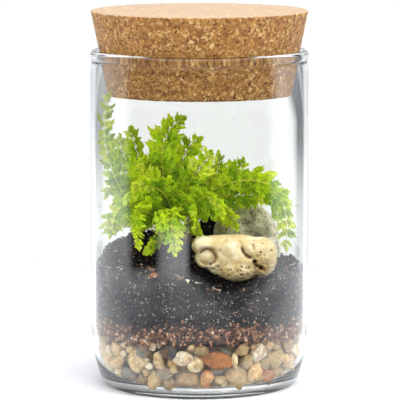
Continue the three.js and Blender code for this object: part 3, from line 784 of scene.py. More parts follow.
# The stones that show best through the front: degrees round from the front, height of the middle, width and
# height in millimetres, tone
FRONT_PEBBLES = [
    (-55, 22.8, 8.4, 6.6, 0.46), (-34, 25.2, 9.6, 9.0, 0.12), (-45, 25.6, 3.8, 3.6, 0.6),
    (-38, 18.6, 10.6, 11.6, 0.52), (-52, 16.8, 5.4, 6.2, 0.42), (-24, 19.4, 6.4, 8.2, 0.56),
    (-17.5, 24.4, 8.2, 8.2, 0.02), (-10, 21.2, 9.2, 6.2, 0.66), (-2.5, 18.4, 6.8, 7.0, 0.6),
    (9.5, 20.2, 14.5, 7.4, 0.95), (20, 19.6, 2.8, 7.0, 0.58), (36, 22.4, 8.2, 8.2, 0.7),
    (50, 18.4, 9.6, 11.0, 0.4), (66, 14.5, 7.0, 9.2, 0.46), (34, 13.4, 8.4, 9.2, 0.8),
    (-21, 13.2, 8.6, 5.4, 0.2), (-8, 10.4, 12.0, 11.4, 0.3), (4.5, 11.2, 6.6, 7.6, 0.88),
    (-29, 9.2, 7.6, 7.6, 0.5), (-18.5, 8.2, 6.4, 5.4, 0.26), (12.5, 9.6, 5.6, 5.4, 0.36),
    (23, 11.4, 9.4, 10.8, 0.38), (45, 9.6, 7.2, 7.0, 0.92), (-48, 10.4, 11.4, 5.2, 0.14),
    (-38, 7.6, 7.2, 5.0, 0.24), (1, 25.4, 6.0, 4.4, 0.32), (25, 25.2, 7.2, 5.0, 0.34),
    (-66, 15.0, 8.0, 9.0, 0.6), (-70, 24.0, 6.6, 7.0, 0.4), (62, 23.6, 7.4, 6.2, 0.32),
    (76, 20.0, 7.0, 8.0, 0.62), (56, 9.8, 6.6, 5.2, 0.3),
]


def pebble_bed():
    """Stones pressed against the glass all round, with more behind and below them."""
    draw = random.Random(5)
    large = pebble_models(8, 420)
    plain = pebble_models(8, 90)
    stones = []
    placed = []

    def lay(model, angle, height, width, tall, depth, radius, tone, tilt=0.5):
        at, outwards = at_wall(angle, height, radius)
        side = outwards.cross(Vector((0, 0, 1)))
        stand = Matrix((side, outwards, Vector((0, 0, 1)))).transposed().to_4x4()
        lean = Matrix.Rotation(draw.uniform(-tilt, tilt), 4, "Y")
        scale = Matrix.Diagonal((width / 2, depth / 2, tall / 2, 1))
        roll = Matrix.Rotation(draw.choice((0, 0.5, 1, 1.5)) * math.pi, 4, "Y")
        stones.append(copied(model, Matrix.Translation(at) @ stand @ lean @ scale @ roll, tone))
        placed.append((at, max(width, tall) / 2))

    for angle, height, width, tall, tone in FRONT_PEBBLES:
        depth = min(width, tall) * 0.8
        radius = glass_radius(height * MM) - (depth / 2 + 0.4) * MM
        model = draw.choice(large)
        sizes = (1.12 * width * MM, 1.12 * tall * MM, depth * MM)
        lay(model, math.radians(angle), height * MM, *sizes, radius, tone, 0.2)
    # Smaller stones fill what is left, first against the glass, then behind
    fillings = ((0, 7, 11, 700), (0, 4.5, 7.5, 1500), (0, 2.8, 4.5, 2200), (4, 5, 9, 1500))
    for inset, smallest, largest, tries in fillings:
        for _ in range(tries):
            angle = draw.uniform(0, 2 * math.pi)
            size = draw.uniform(smallest, largest) * MM
            top = pebble_top(angle - math.pi / 2) - 0.3 * size
            height = draw.uniform(min(3.8 * MM + size / 2, top), top)
            radius = glass_radius(height - 0.3 * size) - 0.4 * size - 0.5 * MM - inset * MM
            at, _ = at_wall(angle, height, radius)
            if all((at - other).length > 0.84 * (size / 2 + half) for other, half in placed):
                width = size * draw.uniform(1.0, 1.35)
                tone = draw.choice((0.05, 0.14, 0.22, 0.3, 0.36, 0.42, 0.48, 0.54, 0.62, 0.68, 0.8, 0.9))
                lay(draw.choice(plain), angle, height, width, 1.06 * size, 0.8 * size, radius, tone)
    # A row of the smallest along the foot of the wall
    for k in range(170):
        angle = 2 * math.pi * (k + draw.uniform(0, 0.6)) / 170
        size = draw.uniform(2.2, 3.8) * MM
        height = 3.9 * MM + 0.46 * size
        radius = glass_radius(height - 0.3 * size) - 0.4 * size - 0.5 * MM
        at, _ = at_wall(angle, height, radius)
        if all((at - other).length > 0.72 * (size / 2 + half) for other, half in placed):
            model = draw.choice(plain)
            lay(model, angle, height, 1.3 * size, size, 0.8 * size, radius, draw.uniform(0.15, 0.6))
    core = solid_copy("pebble_bed", "pebble_core")
    core.data.transform(Matrix.Diagonal((0.94, 0.94, 0.97, 1)))
    toned(core, 0.18)
    piece = joined("pebbles", stones + [core])
    removed(*large, *plain)
    return piece


def bark_layer():
    """A bed of torn chips with threads of coir, pressed against the glass and into the layers beside it."""
    draw = random.Random(11)
    flakes = flake_models(6, 0.5, 0.13)
    crumbs = crumb_models(5, draw)
    threads = thread_models(4)
    base = solid_copy("bark_layer", "bark_base")
    modified(base, "REMESH", mode="VOXEL", voxel_size=1.1 * MM)
    base.data.transform(Matrix.Diagonal((0.975, 0.975, 1, 1)))
    roughened(base, 2.2 * MM, 1.2 * MM)
    toned(base, 0.3)
    pieces = [base]

    def press(model, size, squeeze, spread, inset, tone):
        angle = draw.uniform(0, 2 * math.pi)
        polar = angle - math.pi / 2
        middle = 0.5 * (pebble_top(polar) + bark_top(polar))
        height = middle + draw.triangular(-spread, spread, 0) * MM
        at, outwards = at_wall(angle, height, glass_radius(height) - inset * MM - 0.12 * size)
        facing = outwards + Vector((draw.gauss(0, 0.2), draw.gauss(0, 0.2), draw.gauss(0, 0.25)))
        turn = turn_to(facing.normalized(), draw.uniform(0, 2 * math.pi))
        scale = Matrix.Diagonal((size, size * draw.uniform(0.6, 1), size * squeeze, 1))
        tone = min(max(tone, 0.08), 1.0)
        pieces.append(copied(model, Matrix.Translation(at) @ turn @ scale, tone))

    for _ in range(800):
        size = draw.choice((0.7, 1.0, 1.3, 1.7, 2.2)) * MM
        press(draw.choice(flakes), size, 1, 5.5, draw.uniform(0.5, 1.2), draw.gauss(0.5, 0.2))
    for _ in range(1900):
        size = draw.choice((0.3, 0.4, 0.6, 0.8, 1.1)) * MM
        press(draw.choice(crumbs), size, 0.5, 7, draw.uniform(0.35, 0.9), draw.gauss(0.52, 0.25))
    for _ in range(240):
        press(draw.choice(threads), draw.uniform(1.0, 2.8) * MM, 0.2, 8, 0.5, draw.uniform(0.5, 0.95))
    piece = joined("bark_chips", pieces)
    removed(*flakes, *crumbs, *threads)
    return piece


# Bits of bark that show on the soil: x, y, half length in millimetres, tone
BARK_BITS = [
    (-1, -43, 1.9, 0.86), (8, -44, 2.2, 0.84), (4, -46, 1.5, 0.8), (-24, -30, 2.4, 0.72),
    (22, -44, 1.4, 0.82),
]


def on_soil(draw):
    """A place on the soil clear of the rock, the cream stone and the crown."""
    reach = JAR_RADIUS - 4 * MM
    while True:
        x = draw.uniform(-reach, reach)
        y = draw.uniform(-reach, reach)
        clear = math.hypot(x, y) < reach
        for centre, half in ((ROCK, ROCK_HALF), (STONE, STONE_HALF)):
            clear = clear and ((x - centre.x) / half.x) ** 2 + ((y - centre.y) / half.y) ** 2 > 0.92
        if clear and math.hypot(x - CROWN.x, y - CROWN.y) > 0.8 * CROWN_RADIUS:
            return Vector((x, y, soil_top(x, y)))


def potting_soil():
    """Crumbly dark soil with bits of bark, threads and white grains on it and against the glass."""
    draw = random.Random(21)
    base = solid_copy("potting_soil", "soil_base")
    modified(base, "REMESH", mode="VOXEL", voxel_size=0.75 * MM)
    base.data.transform(Matrix.Diagonal((0.993, 0.993, 1, 1)))
    roughened(base, 2.6 * MM, 1.6 * MM, 4)
    toned(base, 0.3)
    crumbs = crumb_models(5, draw)
    flakes = flake_models(3, 0.5, 0.12)
    threads = thread_models(3)
    pieces = [base]

    def lay(model, at, size, tone, squeeze=1.0, facing=Vector((0, 0, 1))):
        turn = turn_to(facing, draw.uniform(0, 2 * math.pi))
        scale = Matrix.Diagonal((size, size * draw.uniform(0.7, 1.0), size * squeeze, 1))
        pieces.append(copied(model, Matrix.Translation(at) @ turn @ scale, tone))

    for _ in range(1900):
        size = draw.choice((0.5, 0.7, 0.9, 1.3, 1.8)) * MM
        at = on_soil(draw) + Vector((0, 0, 0.2 * size))
        lay(draw.choice(crumbs), at, size, draw.choice((0.1, 0.2, 0.3, 0.4, 0.5)))
    for _ in range(260):
        size = draw.uniform(0.7, 2.4) * MM
        tilt = Vector((draw.gauss(0, 0.35), draw.gauss(0, 0.35), 1)).normalized()
        model = draw.choice(flakes)
        lay(model, on_soil(draw) + Vector((0, 0, 0.6 * MM)), size, draw.uniform(0.55, 0.9), 1.0, tilt)
    for _ in range(160):
        lay(draw.choice(crumbs), on_soil(draw) + Vector((0, 0, 0.4 * MM)), draw.uniform(0.25, 0.7) * MM, 0.98)
    for x, y, size, tone in BARK_BITS:
        at = Vector((x * MM, y * MM, soil_top(x * MM, y * MM) + 0.9 * MM))
        lay(draw.choice(flakes), at, size * MM, tone, 1.4, Vector((0.1, -0.5, 1)).normalized())
    # Against the glass
    for _ in range(4600):
        angle = draw.uniform(0, 2 * math.pi)
        low = bark_top(angle - math.pi / 2) - 2 * MM
        edge, outwards = at_wall(angle, 0, JAR_RADIUS - WALL)
        high = soil_top(edge.x, edge.y)
        height = draw.uniform(low, high + 1.0 * MM)
        size = draw.choice((0.24, 0.3, 0.36, 0.42, 0.6, 0.9, 1.3)) * MM
        at = outwards * (glass_radius(height) - 0.3 * MM - 0.5 * size) + Vector((0, 0, height))
        pale = draw.choice((0.3, 0.6, 0.72, 0.8, 0.88, 0.96))
        model = draw.choice(crumbs)
        tone = pale if size < 0.5 * MM else draw.choice((0.1, 0.25, 0.4))
        lay(model, at, size, tone, 0.5, outwards)
    for _ in range(260):
        angle = draw.uniform(0, 2 * math.pi)
        height = draw.uniform(BARK_TOP, SOIL_TOP + 4 * MM)
        at, outwards = at_wall(angle, height, glass_radius(height) - 0.5 * MM)
        lay(draw.choice(threads), at, draw.uniform(0.8, 2.4) * MM, draw.uniform(0.7, 0.97), 0.15, outwards)
    piece = joined("soil", pieces)
    removed(*crumbs, *flakes, *threads)
    return piece


def grey_rock():
    piece = solid_copy("grey_rock", "rock")
    modified(piece, "REMESH", mode="VOXEL", voxel_size=0.9 * MM)
    modified(piece, "SMOOTH", factor=0.6, iterations=6)
    roughened(piece, 9 * MM, 2.6 * MM, 4)
    roughened(piece, 2.2 * MM, 0.9 * MM, 3)
    toned_by_hollows(piece, 20, 0.5 * MM)
    smoothed(piece)
    return piece


def cream_stone():
    """The worn stone: its solid softened, with pits sunk into the foot and the dome."""
    piece = solid_copy("cream_stone", "worn_stone")
    modified(piece, "REMESH", mode="VOXEL", voxel_size=0.38 * MM)
    modified(piece, "SMOOTH", factor=0.6, iterations=6)
    draw = random.Random(31)
    pits = []
    for _ in range(60):
        x, z = STONE.x + draw.uniform(-15, 19) * MM, STONE.z + draw.uniform(-12, -3.5) * MM
        pits.append((x, z, draw.uniform(0.35, 0.9) * MM, draw.uniform(0.4, 1.0) * MM))
    for _ in range(26):
        x, z = STONE.x + draw.gauss(14, 3) * MM, STONE.z + draw.gauss(0, 3.5) * MM
        pits.append((x, z, draw.uniform(0.3, 0.7) * MM, draw.uniform(0.4, 0.8) * MM))
    for vertex in piece.data.vertices:
        if vertex.normal.y > -0.1:
            continue
        sink = 0.0
        for x, z, radius, depth in pits:
            reach = ((vertex.co.x - x) ** 2 + (vertex.co.z - z) ** 2) / (radius * radius)
            if reach < 4:
                sink = max(sink, depth * math.exp(-reach))
        vertex.co -= vertex.normal * sink
    roughened(piece, 5 * MM, 0.5 * MM, 3)
    toned_by_hollows(piece, 60, 0.7 * MM)
    smoothed(piece)
    return piece


def fern_crown():
    piece = solid_copy("fern_crown", "crown")
    modified(piece, "REMESH", mode="VOXEL", voxel_size=0.7 * MM)
    roughened(piece, 1.6 * MM, 1.0 * MM, 3)
    smoothed(piece)
    return piece


def soil_pebble(node, name):
    piece = solid_copy(node, name)
    modified(piece, "SUBSURF", levels=3, render_levels=3)
    roughened(piece, 1.4 * MM, 0.4 * MM)
    smoothed(piece)
    return piece


# Fern. Each rib is one curve from the crown through low and high to its tip, in millimetres. The numbers
# after the points are the longest leaflet, the pairs of leaflets and the way that the upper face looks, in
# degrees round from the front.
FRONDS = [
    ("wall_climber", (-35, -3, 92), (-46, -7, 117), (-44.5, -17, 149), 6.5, 9, 0),
    ("main_upright", (-17, -8, 97), (-18.5, -12, 120), (-9.5, -9, 137), 10, 9, 0),
    ("left_upright", (-21, -6, 93), (-28, -8, 110), (-34, -6, 130), 9, 7, 20),
    ("centre_front", (-8, -12, 98), (-1, -18, 111), (5, -16, 119), 9, 7, 0),
    ("upper_right", (-11, -3, 99), (-8, -4, 116), (-1, -3, 125), 9, 7, 15),
    ("middle_right", (-4, 3, 91), (6, 5, 103), (10, 6, 116), 7, 7, -25),
    ("right_upright", (0, 8, 91), (14, 12, 103), (22, 12, 112), 8, 7, 20),
    ("right_arch", (3, -4, 97), (31, -6, 104), (43.5, -8, 71), 8, 9, -35),
    ("right_spray", (5, 3, 93), (27, 5, 96), (42, 2, 97), 8, 8, -30),
    ("front_hanging", (-10, -18, 92), (-4, -27, 96), (-3, -31, 84), 6, 6, 165),
    ("stone_sweep", (-1, -8, 91), (10, -14, 91), (18, -17, 83), 8, 7, 160),
    ("front_centre", (-4, -14, 90), (3, -25, 99), (11, -29, 91), 8, 6, 165),
    ("front_left_low", (-22, -15, 87), (-30.5, -28, 91), (-30, -37, 77), 9, 7, 195),
    ("front_left_high", (-16, -13, 96), (-25, -25, 104), (-35, -31, 99), 9, 6, 200),
    ("front_curtain", (-15, -17, 87), (-15, -31, 90), (-12, -40, 74), 8, 7, 180),
    ("centre_left", (-20, -12, 97), (-27, -19, 108), (-33, -18, 116), 9, 6, 0),
    ("left_low", (-25, -10, 86), (-36, -18, 93), (-42, -23, 83), 8, 7, 215),
    ("left_spray", (-26, 3, 90), (-38, 3, 101), (-47, 1, 97), 8, 6, 35),
    ("second_upright", (-24, 2, 95), (-35, 3, 111), (-40, 1, 125), 8, 6, -10),
    ("left_wall_low", (-25, -4, 82), (-38, -5, 87), (-45, -8, 78), 7, 6, 40),
    ("left_back_arch", (-23, 9, 91), (-37, 18, 98), (-42, 24, 84), 8, 6, 60),
    ("right_back_arch", (4, 15, 92), (29, 21, 100), (40, 21, 76), 8, 8, -55),
    ("back_upright", (-14, 10, 95), (-17, 18, 110), (-19, 25, 118), 8, 6, 20),
    ("back_middle", (-11, 15, 91), (-8, 30, 103), (-5, 43, 90), 9, 6, 0),
    ("back_right", (-8, 16, 86), (3, 30, 94), (10, 42, 81), 8, 6, -20),
    ("back_left", (-19, 14, 89), (-28, 28, 101), (-31, 36, 90), 8, 6, 30),
    ("front_short", (-18, -9, 73), (-23, -17, 75), (-26, -25, 71), 6, 5, 175),
    ("front_right_short", (-6, -7, 79), (-3, -15, 84), (1, -20, 79), 6, 5, 150),
]
SPLAY = 2  # how much wider apart the stalks leave the crown than they point
BARE = 0.25  # share of a rib that is stalk
MORE_PAIRS = 1.5  # pairs of leaflets for each pair of the solid
CLEAR = 1.0 * MM  # between leaflets of different fronds
KEEP = {"glass": 0.7 * MM, "cork": 0.6 * MM, "soil": 0.3 * MM, "rock": 1.6 * MM, "stone": 1.2 * MM}


class Rib:
    """A cubic curve with its points by share of its length."""

    def __init__(self, low, high, tip):
        low, high, tip = (Vector(p) * MM for p in (low, high, tip))
        outwards = low - CROWN
        outwards = Vector((outwards.x * SPLAY, outwards.y * SPLAY, outwards.z)).normalized()
        start = CROWN + outwards * (CROWN_RADIUS - 0.6 * MM)
        self.ends = (
            start,
            (-5 * start + 18 * low - 9 * high + 2 * tip) / 6,
            (2 * start - 9 * low + 18 * high - 5 * tip) / 6,
            tip,
        )
        self.table = [0.0]
        for k in range(200):
            self.table.append(self.table[-1] + (self.point(k / 200) - self.point((k + 1) / 200)).length)
        self.length = self.table[-1]

    def point(self, t):
        a, b, c, d = self.ends
        u = 1 - t
        return a * u**3 + b * (3 * u * u * t) + c * (3 * u * t * t) + d * t**3

    def time(self, share):
        wanted = share * self.length
        k = 1
        while k < 200 and self.table[k] < wanted:
            k += 1
        step = self.table[k] - self.table[k - 1]
        return (k - 1 + (wanted - self.table[k - 1]) / step) / 200

    def at(self, share):
        return self.point(self.time(share))

    def along(self, share):
        t = min(max(self.time(share), 0.001), 0.999)
        return (self.point(t + 0.001) - self.point(t - 0.001)).normalized()

    def frames(self, shares, look):
        """Place, way along, upward and sideways normals, carried along the rib without twist."""
        turn = math.radians(look)
        up = Vector((math.sin(turn), -math.cos(turn), 0))
        found = []
        for share in shares:
            along = self.along(share)
            up = (up - along * up.dot(along)).normalized()
            found.append((self.at(share), along, up, along.cross(up)))
        return found


def leaflet_length(reach, share):
    return reach * min(1.0, 0.6 + 1.6 * share) * math.sqrt(max(0.0, 1 - 0.9 * share**3))


taken = {}


def cell_of(p):
    return (int(p.x // CLEAR), int(p.y // CLEAR), int(p.z // CLEAR))


def take(owner, p):
    taken.setdefault(cell_of(p), []).append((owner, p))


def near_other(p, owner):
    x, y, z = cell_of(p)
    for i in (x - 1, x, x + 1):
        for j in (y - 1, y, y + 1):
            for k in (z - 1, z, z + 1):
                for other, q in taken.get((i, j, k), ()):
                    if other != owner and (q - p).length_squared < CLEAR * CLEAR:
                        return True
    return False


def inside_lump(p, centre, half, margin):
    return sum(((p[i] - centre[i]) / (half[i] + margin)) ** 2 for i in range(3)) < 1


def has_room(p, owner):
    radius = math.hypot(p.x, p.y)
    if radius > glass_radius(p.z) - KEEP["glass"]:
        return False
    if p.z > CORK_BOTTOM - MM and radius < cork_radius(p.z) + KEEP["cork"]:
        return False
    if p.z < soil_top(p.x, p.y) + KEEP["soil"]:
        return False
    if inside_lump(p, ROCK, ROCK_HALF, KEEP["rock"]) or inside_lump(p, STONE, STONE_HALF, KEEP["stone"]):
        return False
    return not near_other(p, owner)


def leaflet_models(count):
    """Fans a unit long and a unit wide on a narrow base, the round end cut into frilled lobes."""
    models = []
    for k in range(count):
        draw = random.Random(200 + k)
        cuts = {"x_subdivisions": 6, "y_subdivisions": 18}
        model = begun("fan_model", bpy.ops.mesh.primitive_grid_add, size=1, **cuts)
        lobes = draw.choice((2.5, 3, 3.5))
        start = draw.uniform(0, 1)
        cut = draw.uniform(0.26, 0.42)
        opening = math.radians(draw.uniform(62, 84))
        lean = draw.uniform(-0.12, 0.12)
        for vertex in model.data.vertices:
            u, v = vertex.co.x + 0.5, vertex.co.y * 2
            lobe = abs(math.sin(math.pi * (lobes * 0.5 * v + start)))
            nick = abs(math.sin(math.pi * (2.5 * lobes * 0.5 * v + start)))
            reach = 1 - cut * (1 - lobe**0.55) - 0.07 * (1 - nick) - 0.12 * v * v
            angle = opening * v * (0.3 + 0.7 * min(1.0, 1.6 * u))
            radius = u**0.85 * (1 - (1 - reach) * u**1.5)
            ruffle = 0.2 * u**1.6 * math.sin(2 * math.pi * (lobes * 0.5 * v + start) + 0.8)
            crimp = 0.03 * u * math.sin(15 * v + 5 * start)
            cup = 0.16 * v * v * u
            side = 0.55 * radius * math.sin(angle) + 0.22 * v * (1 - u) + lean * u * u
            vertex.co = Vector((radius * math.cos(angle), side, ruffle + crimp + cup))
        models.append(model)
    return models


def leaflet_at(place, along, out, normal, length, width, sweep):
    """Takes a leaflet's point (outwards, along, height) to its place, swept and drooping towards its tip."""

    def move(p):
        bend = p.x * p.x * length
        sideways = along * (p.y * width + sweep * bend)
        return place + out * (p.x * length) + sideways + normal * (p.z * width - 0.18 * bend)

    return move


SAMPLES = [Vector((u, v, 0)) for u in (0.15, 0.35, 0.55, 0.75, 0.95) for v in (-0.45, 0.0, 0.45)]
TILTS = (0, 0.35, -0.35, 0.7, -0.7, 1.05, -1.05)
SHRINKS = (1, 0.8, 0.6, 0.42)


def fitted_leaflet(frame_at, hand, length, width, sweep, owner, lift):
    """The longest leaflet that has room, at the smallest tilt, or None."""
    place, along, up, side = frame_at
    for shrink in SHRINKS:
        for tilt in TILTS:
            turn = tilt - 0.1 + lift
            out = side * (hand * math.cos(turn)) + up * math.sin(turn)
            normal = along.cross(out) * -hand
            move = leaflet_at(place, along, out, normal, length * shrink, width * (0.4 + 0.6 * shrink), sweep)
            spread = [move(p) for p in SAMPLES]
            if all(has_room(p, owner) for p in spread):
                for p in spread:
                    take(owner, p)
                return move
    return None


def bent_copy(model, fan, move, hand, tone):
    """A copy of a fan, set on its leaflet with every point moved to its place. fan is where on the leaflet it
    starts, its length, how far it points to the side in degrees, and how far it lifts."""
    start, length, aside, raised = fan
    turn = Matrix.Rotation(math.radians(aside), 3, "Z") @ Matrix.Rotation(-raised, 3, "Y")
    piece = own_copy(model)
    for vertex in piece.data.vertices:
        point = Vector((start, 0, 0)) + turn @ vertex.co * length
        vertex.co = move(Vector((point.x, point.y * hand, point.z)))
    if hand < 0:
        piece.data.flip_normals()
    toned(piece, tone)
    return piece


def leaflet(models, move, hand, tone, draw):
    """Three fans on one stalk: one to each side and the longest at the end."""
    fans = [
        (0.04, draw.uniform(0.52, 0.66), draw.uniform(32, 52), draw.uniform(0.0, 0.35)),
        (0.12, draw.uniform(0.52, 0.66), draw.uniform(-52, -32), draw.uniform(0.0, 0.35)),
        (0.34, draw.uniform(0.6, 0.72), draw.uniform(-14, 14), draw.uniform(-0.2, 0.2)),
    ]
    found = []
    for fan in fans:
        model = draw.choice(models)
        found.append(bent_copy(model, fan, move, hand, min(max(tone + draw.gauss(0, 0.1), 0.02), 0.98)))
    return found


def rib_tube(rib):
    """The rib and its stalk, tapering to the tip."""
    knots = [(rib.at(0.995 * k / 23), 1 - 0.72 * k / 23) for k in range(24)]
    return tube("rib", knots, 0.52 * MM, 1, True)


def fern_frond(row, rib, models, leaf, stalk):
    """A rib with its two rows of ruffled leaflets and one more at the tip."""
    name, _, _, _, reach, pairs, look = row
    draw = random.Random(name)
    count = round(pairs * MORE_PAIRS)
    shares = [BARE + (1 - BARE) * (k + 0.5) / count for k in range(count)]
    spacing = rib.length * (1 - BARE) / count
    stem = rib_tube(rib)
    toned(stem, draw.uniform(0.35, 0.75))
    stem.data.materials.append(stalk)
    leaflets = []
    for k, frame_at in enumerate(rib.frames(shares, look)):
        share = (k + 0.5) / count
        length = leaflet_length(reach, share) * MM * draw.uniform(0.9, 1.2)
        width = min(1.15 * length, spacing * draw.uniform(2.3, 3.0))
        for hand in (1, -1):
            lift = draw.uniform(-0.45, 0.45)
            sweep = draw.uniform(0.1, 0.35) + 0.4 * share
            move = fitted_leaflet(frame_at, hand, length, width, sweep, name, lift)
            if move:
                # Painted shade: leaflets nearer the crown, deeper in the foliage, get a lower and darker
                # tone, with a random spread.
                tone = 0.25 + 0.45 * share + draw.gauss(0, 0.25)
                leaflets += leaflet(models, move, hand, tone, draw)
    place, along, up, side = rib.frames([0.985], look)[0]
    tip = leaflet_at(place, side, along, up, 0.55 * reach * MM, 0.55 * reach * MM, 0)
    leaflets += leaflet(models, tip, 1, draw.uniform(0.3, 0.85), draw)
    blade = joined("blade", leaflets)
    blade.data.materials.clear()
    blade.data.materials.append(leaf)
    smoothed(blade)
    return joined("fern_" + name, [blade, stem])


def fern(leaf, stalk):
    models = leaflet_models(6)
    ribs = [Rib(*row[1:4]) for row in FRONDS]
    for row, rib in zip(FRONDS, ribs):
        steps = math.ceil(rib.length / MM)
        for k in range(3, steps + 1):
            take(row[0], rib.at(k / steps))
    fronds = {row[0]: fern_frond(row, rib, models, leaf, stalk) for row, rib in zip(FRONDS, ribs)}
    removed(*models)
    return fronds


# Studio. The camera's place and dip give the photograph's view.
CAMERA_PLACE = (0.00025, -1.556, 0.2946)
CAMERA_DIP = 0.1283
CAMERA_LENS = 278.3
FLOOR_DEPTH = (-0.075, 0.38)  # its front and back edges
FLOOR_CORNERS = (Vector((0.24, -0.075, 0)), Vector((0.32, 0, 0)), Vector((0.42, 0.38, 0)))  # on the right

# Light that shows in reflections and through the edges of the glass
FLOOR_NEAR = (1.15, 1.18, 1.28, 1)
FLOOR_FAR = (2.7, 2.75, 2.85, 1)
DARK_ROOM = (0.03, 0.032, 0.036, 1)
PALE_SWEEP = (0.92, 0.94, 0.97, 1)
LEFT_PATCH = (2.0, 2.05, 2.1, 1)
RIGHT_PATCH = (1.4, 1.45, 1.5, 1)
BENT_FRONT = (0.16, 0.18, 0.2, 1)
BENT_BACK = (1.04, 1.03, 1.03, 1)
DIM_STRIP = (0.05, 0.055, 0.06, 1)
WHITE = (1, 1, 1, 1)


def pale_floor():
    """A table top cut slanting at its front corners and its sides."""
    front, back = FLOOR_DEPTH
    floor = begun("floor", bpy.ops.mesh.primitive_plane_add, size=1, location=(0, (front + back) / 2, 0))
    floor.scale = (2 * FLOOR_CORNERS[-1].x, back - front, 1)
    place_applied(floor)
    bpy.ops.object.mode_set(mode="EDIT")
    for hand in (-1, 1):
        for near, far in zip(FLOOR_CORNERS, FLOOR_CORNERS[1:]):
            bpy.ops.mesh.select_all(action="SELECT")
            outwards = (hand * (far.y - near.y), near.x - far.x, 0)
            bpy.ops.mesh.bisect(plane_co=(hand * near.x, near.y, 0), plane_no=outwards, clear_outer=True)
    bpy.ops.object.mode_set(mode="OBJECT")
    floor.data.materials.append(floor_finish())


def softbox(name, at, size, power, shows_through_glass):
    light = bpy.data.lights.new(name, "AREA")
    light.shape = "RECTANGLE"
    light.size, light.size_y = size
    light.energy = power
    lamp = bpy.data.objects.new(name, light)
    lamp.location = at
    lamp.rotation_euler = (Vector((0, 0, 0.09)) - Vector(at)).to_track_quat("-Z", "Y").to_euler()
    lamp.visible_camera = False
    lamp.visible_glossy = False
    lamp.visible_transmission = shows_through_glass
    bpy.context.collection.objects.link(lamp)


def studio():
    pale_floor()
    camera = bpy.data.cameras.new("camera")
    camera.sensor_width = 36
    camera.lens = CAMERA_LENS
    camera.clip_start = 0.05
    stand = bpy.data.objects.new("camera", camera)
    stand.location = CAMERA_PLACE
    stand.rotation_euler = (math.pi / 2 - CAMERA_DIP, 0, 0)
    bpy.context.collection.objects.link(stand)
    bpy.context.scene.camera = stand
    softbox("top_softbox", (0.15, -0.25, 1.3), (0.7, 0.6), 18, True)
    softbox("left_softbox", (-1.0, -0.7, 0.5), (0.3, 0.8), 9, False)
    softbox("right_softbox", (1.0, -0.5, 0.6), (0.3, 0.8), 9, False)
    surroundings()


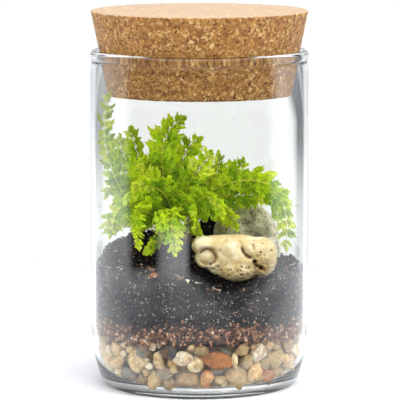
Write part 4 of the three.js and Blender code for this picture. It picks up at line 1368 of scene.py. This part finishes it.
def surroundings():
    """A white sweep all round. Low down the glass mirrors a pale floor, which ends in a dark room in front of
    the stone and of the fern, and in white and bright patches behind. Dim strips draw the glass's edges. Ways
    are degrees round from the front, to the left; a drop is how far a ray falls for its length."""
    world = bpy.data.worlds.new("white_sweep")
    world.use_nodes = True
    bpy.context.scene.world = world
    tree = world.node_tree
    tree.nodes.clear()
    axes = add(tree, "SeparateXYZ", {"Vector": add(tree, "TexCoord").outputs["Generated"]}).outputs
    left, front, drop = (times(tree, axes[axis], -1.0) for axis in "XYZ")
    way = maths(tree, "DEGREES", maths(tree, "ARCTAN2", left, front))
    across = maths(tree, "ABSOLUTE", left)
    right = ranged(tree, left, 0.01, -0.01)

    # The pale floor and where it ends in front: at a left window, a tongue and a wide window below the stone
    left_window = times(tree, ranged(tree, way, 39, 48), ranged(tree, way, 92, 74))
    windows = larger(tree, left_window, ranged(tree, way, 16, 9))
    off_stone = maths(tree, "ABSOLUTE", summed(tree, way, 32.0))
    short = maths(tree, "SUBTRACT", drop, ranged(tree, off_stone, 8, 50, 0.1665, 0.1555))
    windows = times(tree, windows, ranged(tree, short, 0.0016, -0.002))
    dark = larger(tree, windows, ranged(tree, drop, 0.143, 0.134))
    dark = larger(tree, dark, ranged(tree, drop, 0.178, 0.185, 0.0, 0.6))
    dark = times(tree, dark, times(tree, ranged(tree, way, 100, 82), ranged(tree, way, -100, -80)))
    pale = mixed(tree, ranged(tree, drop, 0.161, 0.155), FLOOR_NEAR, FLOOR_FAR)
    room = mixed(tree, dark, pale, DARK_ROOM)

    # White behind and overhead, and the bright patches
    turned_left = maths(tree, "MULTIPLY_ADD", left, 0.15, axes["Y"])
    behind = times(tree, ranged(tree, turned_left, -0.08, 0.2), ranged(tree, drop, 0.16, 0.15))
    room = mixed(tree, larger(tree, behind, ranged(tree, axes["Z"], 0.55, 0.7)), room, PALE_SWEEP)
    patch = times(tree, ranged(tree, drop, 0.1, 0.12), ranged(tree, drop, 0.166, 0.138))
    patch = times(tree, patch, ranged(tree, across, 0.2, 0.5))
    patch = times(tree, patch, ranged(tree, axes["Y"], -0.22, 0.0))
    room = mixed(tree, patch, room, mixed(tree, right, LEFT_PATCH, RIGHT_PATCH))

    # What the glass bends into view, and the dim strips, fainter low down and on the left
    through = mixed(tree, ranged(tree, axes["Y"], 0.15, 0.85), BENT_FRONT, BENT_BACK)
    shade = times(tree, ranged(tree, drop, 0.15, 0.095, 0.35, 1.0), ranged(tree, right, 0, 1, 0.7, 1.0))
    bent_strip = times(tree, ranged(tree, across, 0.1, 0.14), ranged(tree, across, 0.34, 0.24))
    through = mixed(tree, times(tree, bent_strip, shade), through, DIM_STRIP)
    mirrored_strip = times(tree, ranged(tree, across, 0.5, 0.6), ranged(tree, across, 0.86, 0.76))
    room = mixed(tree, times(tree, mirrored_strip, shade), room, DIM_STRIP)

    # The lighting itself and what the camera sees are plain white
    light_path = add(tree, "LightPath").outputs
    direct = maths(tree, "LESS_THAN", light_path["Diffuse Depth"], 0.5)
    mirrored = times(tree, maths(tree, "GREATER_THAN", light_path["Glossy Depth"], 0.5), direct)
    bent = times(tree, maths(tree, "GREATER_THAN", light_path["Transmission Depth"], 0.5), direct)
    light = mixed(tree, mirrored, mixed(tree, bent, WHITE, through), room)
    seen = mixed(tree, light_path["Is Camera Ray"], light, WHITE)
    background = add(tree, "Background", {"Color": seen, "Strength": 1.0})
    add(tree, "OutputWorld", {"Surface": background.outputs[0]})


# Assembly
def dress(piece, slot, node, *finishes):
    """The piece rides with the part and stands for its solid. More finishes keep the ones it has."""
    if finishes:
        piece.data.materials.clear()
        for finish in finishes:
            piece.data.materials.append(finish)
    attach(piece, "root")
    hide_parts(node)


bpy.context.scene.view_settings.view_transform = "Standard"
studio()
dress(glass_jar(), "glass", "glass_jar", glass_finish())
dress(cork_stopper(), "cork", "cork_stopper", cork_finish())
dress(pebble_bed(), "pebbles", "pebble_bed", pebble_finish())
dress(bark_layer(), "bark", "bark_layer", bark_finish())
dress(potting_soil(), "soil", "potting_soil", soil_finish())
dress(grey_rock(), "grey_stone", "grey_rock", rock_finish())
dress(cream_stone(), "cream_stone", "cream_stone", cream_stone_finish())
dress(fern_crown(), "crown", "fern_crown", crown_finish())
for stone, tone in (("brown", 0.98), ("white", 0.7)):
    pebble = soil_pebble(stone + "_soil_pebble", stone + "_pebble")
    toned(pebble, tone)
    dress(pebble, stone + "_pebble", stone + "_soil_pebble", bpy.data.materials["river_pebbles"])
for name, frond in fern(leaf_finish(), rib_finish()).items():
    dress(frond, "fern", "frond_" + name)
